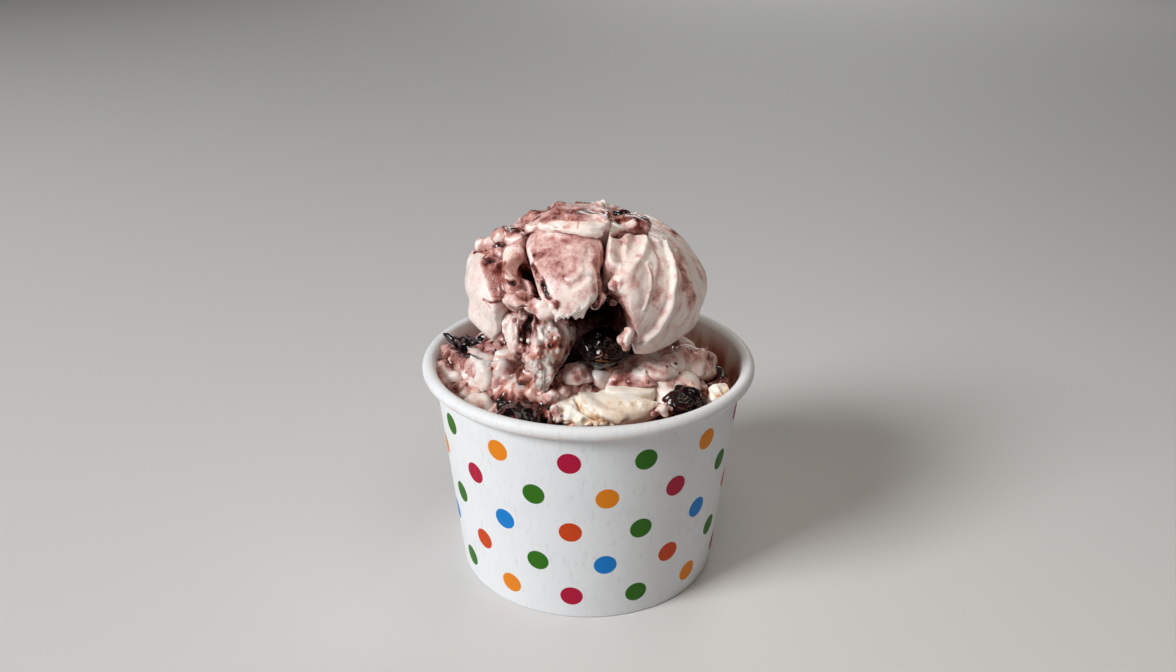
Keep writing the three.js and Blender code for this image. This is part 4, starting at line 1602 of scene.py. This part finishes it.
CROWN_MARKS = (
    Mark((546, 227, 558, 223, 572, 224, 588, 224, 602, 226), 1.2, 0.8, tone=0.15, torn=0.2),
    Mark((541, 224, 553, 218, 564, 215, 583, 216, 594, 214, 603, 217, 608, 222), 0.25, 0.9, 0.5, rise=0.7,
         tone=0.48),
    Mark((530, 222, 546, 213, 562, 206), 0.3, 1.6, rise=0.5, tone=0.3, paint=0.6),
    Mark((560, 212, 580, 208, 600, 210), 0.6, 1.6, rise=-0.4, tone=0.62, paint=0.7),
    Mark((522, 225, 531, 228, 545, 229, 559, 231, 572, 233, 586, 234, 600, 235), 0.35, 0.9, rise=0.6,
         tone=0.1, torn=0.1),
    # painted shadow: a thin dark line under the crown's lip
    Mark((535, 230, 552, 232, 566, 235, 580, 236), 0.15, 0.5, tone=0.5),
    Mark((548, 226, 562, 227), 0.1, 0.5, tone=0.4, rise=-0.3),
    Mark((579, 220, 578, 226), 0.15, 0.4, tone=0.45, rise=-0.3),
    Mark((600, 202), 1.2, 0.8, rise=0.9, tone=0.12),
    Mark((566, 203), 0.8, 0.8, rise=0.5, tone=0.4),
    Mark((516, 222, 524, 221), 0.8, 0.8, rise=0.5, tone=0.35),
    # painted shadow: the dark line under the left end of the lip
    Mark((520, 236, 530, 236), 0.2, 0.6, tone=0.8),
    Mark((609, 226, 611, 236), 0.5, 1.0, tone=0.12),
    Mark((612, 212, 614, 220), 0.4, 1.2, tone=0.66, rise=-0.8),
)

HUMP_MARKS = (
    Mark((622, 224, 632, 222), 0.8, 0.9, tone=0.16, torn=0.2, rise=0.3),
    Mark((618, 220, 616, 226), 0.4, 0.8, tone=0.85),
    Mark((626, 209, 636, 210), 0.6, 1.2, tone=0.66),
    Mark((644, 218, 650, 222), 0.8, 1.4, tone=0.52),
)

FINGER_MARKS = (
    Mark((504, 246, 512, 247), 1.0, 1.2, tone=0.1),
    Mark((506, 260, 508, 276), 0.9, 1.2, tone=0.12),
    Mark((501, 262, 502, 274), 0.4, 1.0, tone=0.4),
    Mark((498, 236, 508, 236, 518, 237), 1.0, 1.2, tone=0.48),
    # painted shadow under the finger's tip
    Mark((506, 284, 514, 285), 0.3, 0.8, tone=0.75),
)

CRUMBLE_MARKS = (
    Mark((511, 322, 511, 336, 509, 350), 1.4, 1.0, rise=0.8, tone=0.15, torn=0.3),
    Mark((530, 314, 528, 326, 524, 338, 526, 350), 0.5, 0.8, rise=-1.6, tone=0.78),
    Mark((541, 318, 539, 332, 545, 346), 0.3, 0.8, rise=-0.8, tone=0.6),
    Mark((558, 330, 556, 344), 0.5, 1.2, rise=0.4, tone=0.42),
    Mark((536, 300, 548, 306, 556, 312), 0.8, 1.2, rise=0.6, tone=0.4, torn=0.3),
    Mark((570, 330, 567, 346, 560, 360), 0.8, 1.2, tone=0.2),
    Mark((546, 362, 546, 376, 545, 388), 1.4, 1.2, rise=0.6, tone=0.08, torn=0.4),
    Mark((538, 326, 542, 340, 542, 354), 0.8, 1.2, rise=0.5, tone=0.36),
    Mark((556, 366, 552, 374), 0.4, 0.8, tone=0.5),
)


# ---------------------------------------------------------------- gelato in the cup


FILL_LUMPS = (
    # where it is seen, the height of its middle, and what it is: on the left
    ((460, 369), 57.4, Chunk((9.4, 7.4, 6.2), 0.34, 0.3, 0.0, 5)),
    ((451, 377), 57.6, Chunk((6.4, 6.0, 5.8), 0.26, 0.3, 0.0, 4)),
    ((476, 360), 59.0, Chunk((6.4, 4.8, 3.4), 0.5, 0.4, 0.0, 5)),
    ((477, 375), 58.6, Chunk((5.6, 5.0, 5.0), 0.36, 0.3, 0.0, 5)),
    ((491, 380), 60.8, Chunk((5.2, 4.8, 6.0), 0.02, 0.2, 0.0, 5)),
    ((513, 373), 62.0, Chunk((6.0, 5.0, 4.6), 0.3, 0.3, 0.0, 5)),
    ((514, 389), 60.0, Chunk((5.0, 4.0, 5.2), 0.16, 0.2, 0.0, 5)),
    ((508, 400), 58.0, Chunk((2.4, 2.2, 2.2), 0.04, 0.2)),
    ((490, 397), 57.6, Chunk((4.6, 2.6, 2.2), 0.6, 0.5)),
    ((474, 398), 57.0, Chunk((3.0, 2.6, 3.0), 0.26, 0.4)),
    ((489, 409), 54.5, Chunk((5.0, 3.2, 3.4), 0.02, 0.1)),
    ((462, 388), 57.0, Chunk((4.2, 3.4, 3.6), 0.34, 0.6)),
    ((531, 381), 63.5, Chunk((4.2, 3.4, 5.0), 0.68, 0.6, 0.0, 5)),
    ((539, 395), 60.5, Chunk((3.2, 2.8, 4.4), 0.6, 0.9)),
    ((541, 409), 57.5, Chunk((2.6, 2.4, 4.0), 0.7, 0.9)),
    ((563, 391), 62.0, Chunk((3.2, 3.0, 4.2), 0.4, 0.05)),
    ((556, 415), 58.0, Chunk((1.5, 1.6, 2.6), 0.28, 0.3)),
    ((550, 402), 60.5, Chunk((1.8, 1.8, 3.0), 0.42, 0.6)),
    # in the middle and on the right
    ((580, 377), 65.4, Chunk((5.6, 3.6, 2.4), 0.34, 0.4, 0.0, 5)),
    ((600, 382), 62.8, Chunk((8.0, 3.6, 2.6), 0.26, 0.4, 12.0, 4)),
    ((640, 368), 65.6, Chunk((9.6, 5.4, 3.2), 0.14, 0.2, -8.0, 3)),
    ((636, 383), 63.4, Chunk((9.4, 3.6, 3.8), 0.26, 0.4, -8.0, 4)),
    ((612, 365), 67.0, Chunk((3.4, 3.0, 2.4), 0.6, 0.6, 0.0, 5)),
    ((655, 357), 66.4, Chunk((4.6, 3.2, 2.6), 0.3, 0.3, 0.0, 4)),
    ((673, 354), 65.6, Chunk((4.4, 3.2, 2.8), 0.3, 0.3, 0.0, 4)),
    ((670, 366), 65.8, Chunk((4.0, 3.2, 3.2), 0.06, 0.3, 0.0, 4)),
    ((686, 366), 64.2, Chunk((4.6, 3.8, 4.8), 0.2, 0.3, 0.0, 5)),
    ((701, 367), 61.6, Chunk((3.6, 4.4, 6.6), 0.26, 0.3, 20.0, 4)),
    ((716, 382), 57.5, Chunk((3.8, 4.0, 4.8), 0.72, 0.8)),
    ((677, 380), 61.5, Chunk((2.1, 2.0, 1.9), 0.18, 0.6)),
    ((694, 385), 59.5, Chunk((1.6, 1.5, 1.7), 0.16, 0.5)),
    ((658, 385), 61.5, Chunk((3.0, 2.4, 3.8), 0.7, 1.0)),
    ((703, 392), 57.8, Chunk((2.2, 2.2, 2.2), 0.6, 1.0)),
    ((659, 411), 58.5, Chunk((2.4, 2.0, 1.8), 0.4, 0.8)),
    ((672, 412), 57.5, Chunk((2.4, 2.0, 1.6), 0.58, 0.9)),
)


@dataclass(frozen=True)
class GelatoFill:
    """The gelato that fills the cup, heaped under the scoop, with its chunks. Sizes are in mm.

    Attributes:
        sizes: The cup's sizes.
        edge: Level of the top at the wall.
        heap: Height of the heap under the scoop.
        heap_radii: Radii at which the heap begins to fall and at which it ends.
        lean: How much lower the top is at the right wall than in the middle.
        sunk: How far the top is sunk outside the scoop, for the chunks to fill.
        bottom: Level of the underside.
        rings: Number of rings over the top, apart from 8 near its middle.
        around: Number of points round each ring.
        scattered: Number of chunks scattered where none is placed.
        seats: Number of chunks that the scoop sits on.
        seat: Level of their middles.
        front_fine: Fineness of the chunks at the front, as in Chunk.build.
        back_fine: Fineness of the others.
        crumbs: Number of crumbs on the chunks.
        grip: How far gelato may go into the wall's board.
        mounds: Each one's place, x and y, its height and its reach.
    """

    sizes: CupSizes = CupSizes()
    edge: float = 55.2
    heap: float = 13.2
    heap_radii: tuple[float, float] = (17.0, 42.0)
    lean: float = 2.8
    sunk: float = 3.0
    bottom: float = 7.7
    rings: int = 168
    around: int = 440
    scattered: int = 56
    seats: int = 14
    seat: float = 68.0
    front_fine: float = 6.4
    back_fine: float = 4.2
    crumbs: int = 110
    grip: float = 0.2
    mounds: tuple[tuple[float, float, float, float], ...] = (
        (-35, -3, 3, 9), (-24, -21, 2.2, 8), (31, 12, 2.6, 6),
        (20, -12, 2.2, 9), (34, -19, 2.6, 5), (-8, 33, 2, 8),
    )

    def level(self, x: Array, y: Array) -> Array:
        """Height of the top under its chunks.

        It is the edge's level, a heap that falls off by an S curve, a lean and round mounds, less the depth
        by which it is sunk outside the scoop.
        """
        radius = np.hypot(x, y)
        top = self.edge + self.heap * (1 - smooth(radius, *self.heap_radii))
        top = top - self.lean * x / self.sizes.wall(self.edge) - self.sunk * smooth(radius, 14.0, 20.0)
        for at_x, at_y, rise, reach in self.mounds:
            top = top + rise * np.exp(-((x - at_x) ** 2 + (y - at_y) ** 2) / reach**2)
        return top

    def front_chunks(self) -> list[Skin]:
        """The chunks seen at the front."""
        return [self.held(chunk.build(SIGHT.on_level(seen, height)[0], FRONT_SEED + index, self.front_fine))
                for index, (seen, height, chunk) in enumerate(FILL_LUMPS)]

    def back_chunks(self) -> list[Skin]:
        """The chunks scattered over the rest of the top, and those that the scoop sits on."""
        made = []
        random = np.random.default_rng(5)
        for index in range(self.scattered):
            azimuth, radius = random.uniform(-125, 125) + 180.0, random.uniform(21.0, 38.5)
            x, y = radius * toward(azimuth, 0.0)[:2]
            size = random.uniform(3.0, 7.4) * (1.0 if radius < 36.0 else 0.7)
            chunk = Chunk((size, size * random.uniform(0.7, 1.0), size * random.uniform(0.5, 0.8)),
                          random.uniform(0.05, 0.5), random.uniform(0.15, 0.5), random.uniform(0, 180), 5)
            middle = np.array([x, y, float(self.level(x, y)) + 0.1 * size])
            made.append(self.held(chunk.build(middle, BACK_SEED + index, self.back_fine)))
        for index, azimuth in enumerate(np.linspace(75.0, 285.0, self.seats)):
            size = random.uniform(5.0, 6.6)
            chunk = Chunk((size, size * 0.9, size * 0.8), random.uniform(0.25, 0.52), 0.5, -azimuth, 9)
            middle = random.uniform(17.0, 21.0) * toward(azimuth, 0.0) + [0.0, 0.0, self.seat]
            made.append(self.held(chunk.build(middle, SEAT_SEED + index, self.back_fine)))
        return made

    def top(self) -> Skin:
        """The closed skin: up from the floor along the wall, and over the top to its middle."""
        share = np.linspace(-np.pi, np.pi, self.around, endpoint=False)
        a = share - 0.42 * np.sin(share)
        reach = self.sizes.board / 2 - self.grip
        inner = self.sizes.wall(self.edge) - reach
        radii = np.concatenate([np.linspace(inner, 10.0, self.rings), np.linspace(9.0, 0.3, 8)])[:, None]
        x, y = radii * np.sin(a), -radii * np.cos(a)
        over = np.stack([x, y, self.level(x, y)], axis=-1)
        low = np.array([0.3, 1.0, 1.0, 1.0, 1.0])[:, None]
        part = np.array([0.0, 0.0, 0.35, 0.7, 0.97])[:, None]
        height = blend(self.bottom, over[0, :, 2][None, :], part)
        side = (self.sizes.wall(height) - reach) * low
        under = np.stack([side * np.sin(a), -side * np.cos(a), height], axis=-1)
        skin = Skin(np.concatenate([under, over]))
        radius = np.hypot(skin.rings[..., 0], skin.rings[..., 1])
        grain = Noise(53)
        on_top = np.arange(len(skin.rings))[:, None] >= len(under)
        free = on_top * (1 - smooth(radius, inner - 2.0, inner - 0.3))
        wide = grain.fractal(skin.rings, 9.0, 3)
        veins = grain.veins(skin.rings + 2.5 * grain.shift(skin.rings, 8.0), 12.0, 0.22)
        relief = Relief(skin, grain, 0.8, 0.32 - 0.2 * wide + 0.3 * veins, 0.9).draw(FILL_MARKS)
        relief.out = np.where(on_top[..., None], np.array([0.0, 0.0, 1.0]), relief.out)
        relief.rise = (relief.rise + 1.3 * wide) * free
        relief.torn = relief.torn * np.maximum(free, 0.05)
        return self.held(relief.finish(1.0, 0.2, 5.6))

    def held(self, skin: Skin) -> Skin:
        """The same skin, with what is farther than the grip past the wall's inside moved in to there."""
        room = self.sizes.wall(skin.rings[..., 2]) - self.sizes.board / 2 + self.grip
        out = np.hypot(skin.rings[..., 0], skin.rings[..., 1])
        skin.rings[..., :2] *= np.minimum(1.0, room / out)[..., None]
        return skin

    def build(self, finishes: Finishes) -> None:
        """Makes and dresses the fill, its chunks and the crumbs on them."""
        dress(joined("gelato_top", [self.top()]), finishes.ripple, ["gelato_fill"])
        chunks = [*self.front_chunks(), *self.back_chunks()]
        dress(joined("gelato_chunks", chunks), finishes.ripple)
        crumbs = [self.held(skin) for skin in grit(chunks, self.crumbs, 52)]
        dress(joined("gelato_crumbs", crumbs), finishes.ripple)


FILL_MARKS = (
    Mark((552, 392, 600, 384, 664, 392, 668, 424, 600, 436, 556, 430), 0.0, 2.0, rise=-4.5, tone=0.5,
         area=True),
    Mark((500, 398, 540, 394, 544, 424, 504, 424), 0.0, 1.5, rise=-2.0, tone=0.9, torn=0.5, area=True),
    Mark((662, 388, 712, 386, 716, 414, 664, 418), 0.0, 1.5, rise=-2.0, tone=0.95, torn=0.6, area=True),
    Mark((575, 360, 600, 366, 622, 362), 4.0, 3.0, tone=0.9, torn=0.8),
    Mark((500, 352, 512, 360, 530, 364), 1.5, 2.0, tone=0.7),
    Mark((540, 395, 556, 380), 2.0, 2.0, tone=0.7),
    Mark((450, 362, 446, 380), 1.0, 2.0, tone=0.6),
    Mark((700, 345, 715, 360, 722, 380), 1.5, 2.0, tone=0.66),
)


@dataclass(frozen=True)
class CreamPieces:
    """The plain cream curl at the front and the chip at the right."""

    def curl(self) -> list[Skin]:
        """The curl: a granular end on the left, a folded slab and a cut ledge behind it."""
        back = SIGHT.on_level((552, 402, 574, 391, 597, 387, 618, 393, 640, 398, 662, 402), 60.0)
        front = SIGHT.on_level((550, 424, 572, 427, 594, 428, 616, 427, 642, 423, 666, 414), 55.0)
        thick, bulge = (5, 6, 6.5, 6.5, 6, 5), (0.6, 1.2, 1.6, 1.8, 1.6, 1.0)
        body = sheet(back, front, (0.0, -0.75, 0.7), thick, bulge, (190, 170), 0.5, 4.0)
        relief = Relief(body, Noise(61), 0.4, 0.08, 0.1).draw(CURL_MARKS)
        ledge_back = SIGHT.on_level((606, 388, 622, 389, 640, 389, 656, 388), 61.4)
        ledge_front = SIGHT.on_level((604, 397, 620, 399, 640, 399, 655, 398), 60.6)
        ledge = sheet(ledge_back, ledge_front, (0.0, -0.3, 1.0), 4.4, 0.2, (90, 90), 0.4, 6.0)
        return [
            relief.finish(0.7, 0.3, 2.0, 0.1),
            Relief(ledge, Noise(67), 0.3, 0.08, 0.12).finish(0.6, 0.15, 2.0, 0.1),
        ]

    def chip(self) -> Skin:
        """The small chip by the wall."""
        middle, _ = node_ball("cream_chip")
        return Chunk((3.4, 2.8, 2.1), 0.16, 0.7, 20.0, 12).build(middle - [0.0, 0.0, 0.9], 71)

    def build(self, finishes: Finishes) -> None:
        """Makes and dresses both."""
        dress(joined("cream_front_curl", self.curl()), finishes.cream, ["cream_curl"])
        dress(joined("cream_side_chip", [self.chip()]), finishes.cream, ["cream_chip"])


CURL_MARKS = (
    Mark((562, 408, 572, 414, 582, 424), 4.0, 2.0, torn=0.9, tone=0.02),
    Mark((574, 398, 580, 406, 590, 414, 600, 421, 610, 428), 0.2, 1.2, 0.5, rise=-1.2, tone=0.55),
    Mark((582, 396, 590, 406, 602, 414, 620, 420), 0.6, 3.0, 1.2, rise=1.0, tone=0.12, paint=0.6),
    Mark((625, 401, 636, 403, 650, 407), 0.7, 1.0, torn=0.8, tone=0.34),
    Mark((584, 420), 0.6, 0.8, tone=0.45, rise=-0.6),
    Mark((612, 408, 632, 410, 652, 412), 1.6, 3.0, tone=0.3, paint=0.8),
    Mark((655, 408, 662, 412), 1.0, 1.2, tone=0.36, torn=0.7),
)


# ---------------------------------------------------------------- cherries


@dataclass(frozen=True)
class Cherries:
    """The glossy cherries and the strip of crumpled skin.

    Attributes:
        fruits: Each cherry's node, and how red its skin shows where it is thin.
    """

    fruits: tuple[tuple[str, float], ...] = (
        ("cherry_front", 0.15), ("cherry_left", 1.0), ("cherry_right", 0.3),
    )

    def fruit(self, node: str, seed: int, thin: float) -> Skin:
        """A steeped cherry in a node's place: a ball wrinkled by ridged noise.

        Args:
            node: The frame's node.
            seed: Picks its noise.
            thin: How red its skin shows where it is thin.

        Returns:
            The skin.
        """
        skin = ball(*node_ball(node), (90, 140), 0.3)
        grain = Noise(seed)
        bent = skin.rings + 1.2 * grain.shift(skin.rings, 4.0)
        folds = 1 - np.abs(grain.fractal(bent, 6.0, 2))
        height = 0.7 * (folds - 0.85) + 0.5 * grain.fractal(bent, 5.0, 2) + 0.06 * grain.fractal(bent, 1.2, 2)
        skin.rings = skin.rings + skin.normals * height[..., None]
        skin.masks["thin"] = thin * smooth(folds, 0.7, 1.0)
        return skin

    def fibres(self) -> list[Skin]:
        """Short bent fibres of torn flesh that lie on the right of two cherries."""
        made = []
        random = np.random.default_rng(17)
        for node, count in (("cherry_front", 26), ("cherry_right", 22)):
            middle, radii = node_ball(node)
            for _ in range(count):
                azimuth, elevation = random.uniform(-5, 75), random.uniform(-25, 50)
                swing, bow = random.uniform(-20, 20, size=2)
                part = np.linspace(-1, 1, 5)
                way = toward(azimuth + swing * part + bow * part**2, elevation + 0.8 * bow * part)
                line = middle + (radii + 0.3) * way
                side = 0.2 * unit(np.cross(np.gradient(line, axis=0), way))
                skin = sheet(line - side, line + side, way, 0.5, 0.0, (24, 12), 0.9, 3.0)
                skin.masks["thin"] = np.full(skin.rings.shape[:2], random.uniform(0.6, 1.0))
                made.append(skin)
        return made

    def flakes(self) -> list[Skin]:
        """The crumpled skin at the left back: thin sheets with folds across them."""
        made = []
        table = (
            ((441, 333, 455, 336, 470, 338, 485, 332), (447, 343, 457, 349, 470, 354, 483, 354), 66.6),
            ((464, 334, 476, 338, 490, 340, 505, 343), (470, 349, 480, 355, 492, 360, 506, 358), 66.4),
            ((446, 344, 458, 350, 470, 355, 482, 360), (449, 349, 460, 356, 471, 361, 482, 365), 65.6),
        )
        for seed, (back, front, height) in enumerate(table):
            edges = SIGHT.on_level(back, height + 1.0), SIGHT.on_level(front, height - 1.5)
            skin = sheet(*edges, (0.0, -0.5, 1.0), 0.6, 0.4, (110, 130), 0.7, 4.0)
            grain = Noise(81 + seed)
            crumple = 1 - 2 * np.abs(grain.fractal(skin.rings, 6.0, 3, 0.4))
            skin.rings = skin.rings + crumple[..., None] * np.array([0.1, -0.5, 0.8])
            middle = 1 - np.linspace(-1, 1, len(skin.rings))[:, None] ** 4
            skin.masks["thin"] = middle * smooth(crumple, 0.1, 0.6) * (1 - smooth(crumple, 0.8, 1.0))
            made.append(skin)
        return made

    def build(self, finishes: Finishes) -> None:
        """Makes and dresses them."""
        for seed, (node, thin) in enumerate(self.fruits):
            piece = joined(f"{node}_fruit", [self.fruit(node, 90 + seed, thin)])
            dress(piece, finishes.cherry, [node])
        dress(joined("cherry_fibres", self.fibres()), finishes.flesh)
        dress(joined("cherry_skin_flakes", self.flakes()), finishes.skin, ["cherry_skin"])


# ---------------------------------------------------------------- studio


@dataclass(frozen=True)
class SoftLight:
    """A soft square light that faces the dessert.

    Attributes:
        name: Its name.
        azimuth: Where it stands, in degrees.
        elevation: How high it stands, in degrees.
        distance: How far away it is, in metres.
        size: Its width, in metres.
        power: Its power, in watts.
        colour: Its colour.
    """

    name: str
    azimuth: float
    elevation: float
    distance: float
    size: float
    power: float
    colour: Point = (0.97, 0.985, 1.0)

    def build(self) -> None:
        """Adds the light."""
        data = bpy.data.lights.new(self.name, "AREA")
        data.size = self.size
        data.energy = self.power
        data.color = self.colour
        lamp = bpy.data.objects.new(self.name, data)
        way = Vector(toward(self.azimuth, self.elevation))
        turn = way.to_track_quat("Z", "Y").to_matrix().to_4x4()
        lamp.matrix_world = Matrix.Translation(way * self.distance) @ turn
        bpy.context.scene.collection.objects.link(lamp)


@dataclass(frozen=True)
class Studio:
    """Pale floor, soft light from the left, from above and from far behind, and the camera."""

    lights: tuple[SoftLight, ...] = (
        SoftLight("key", -57.0, 35.0, 2.0, 0.7, 36.0),
        SoftLight("top", 46.0, 74.0, 0.38, 0.2, 0.3, (1.0, 0.9, 0.79)),
        SoftLight("far", 168.0, 25.0, 2.6, 1.0, 9.0),
    )
    sky: Colour = (1.0, 0.95, 0.88, 1.0)
    sky_strength: float = 0.05
    floor: Colour = shade(222, 220, 218)
    floor_reach: float = 4000.0
    floor_roughness: float = 0.7
    sensor: float = 36.0

    def camera(self) -> None:
        """Adds the camera along the line of sight."""
        data = bpy.data.cameras.new("camera")
        data.sensor_width = self.sensor
        data.lens = SIGHT.focal * self.sensor / SIGHT.frame[0]
        data.clip_start = 0.01
        eye = bpy.data.objects.new("camera", data)
        right, up, into = (Vector(axis) for axis in SIGHT.axes)
        turn = Matrix((right, up, -into)).transposed().to_4x4()
        eye.matrix_world = Matrix.Translation(Vector(SIGHT.eye) * MM) @ turn
        bpy.context.scene.collection.objects.link(eye)
        bpy.context.scene.camera = eye

    def build(self) -> None:
        """Adds the floor, the sky, the lights and the camera."""
        self.camera()
        for light in self.lights:
            light.build()
        world = bpy.data.worlds.new("sky")
        world.use_nodes = True
        world.node_tree.nodes["Background"].inputs["Color"].default_value = self.sky
        world.node_tree.nodes["Background"].inputs["Strength"].default_value = self.sky_strength
        bpy.context.scene.world = world
        bpy.context.scene.view_settings.view_transform = "Standard"
        corners = self.floor_reach * np.array([[-1, -1, 0], [1, -1, 0], [1, 1, 0], [-1, 1, 0]])
        floor = mesh_object("floor", corners, np.array([[0, 1, 2, 3]]))
        material, _, shader = new_finish("pale_floor")
        shader.inputs["Base Color"].default_value = self.floor
        shader.inputs["Roughness"].default_value = self.floor_roughness
        floor.data.materials.append(material)


def main() -> None:
    """Builds the dessert piece by piece, then the studio."""
    logging.basicConfig(level=logging.INFO, format="%(name)s: %(message)s")
    finishes = Finishes.build()
    PaperCup().build()
    Scoop().build(finishes)
    GelatoFill().build(finishes)
    CreamPieces().build(finishes)
    Cherries().build(finishes)
    Studio().build()


if __name__ == "__main__":
    main()
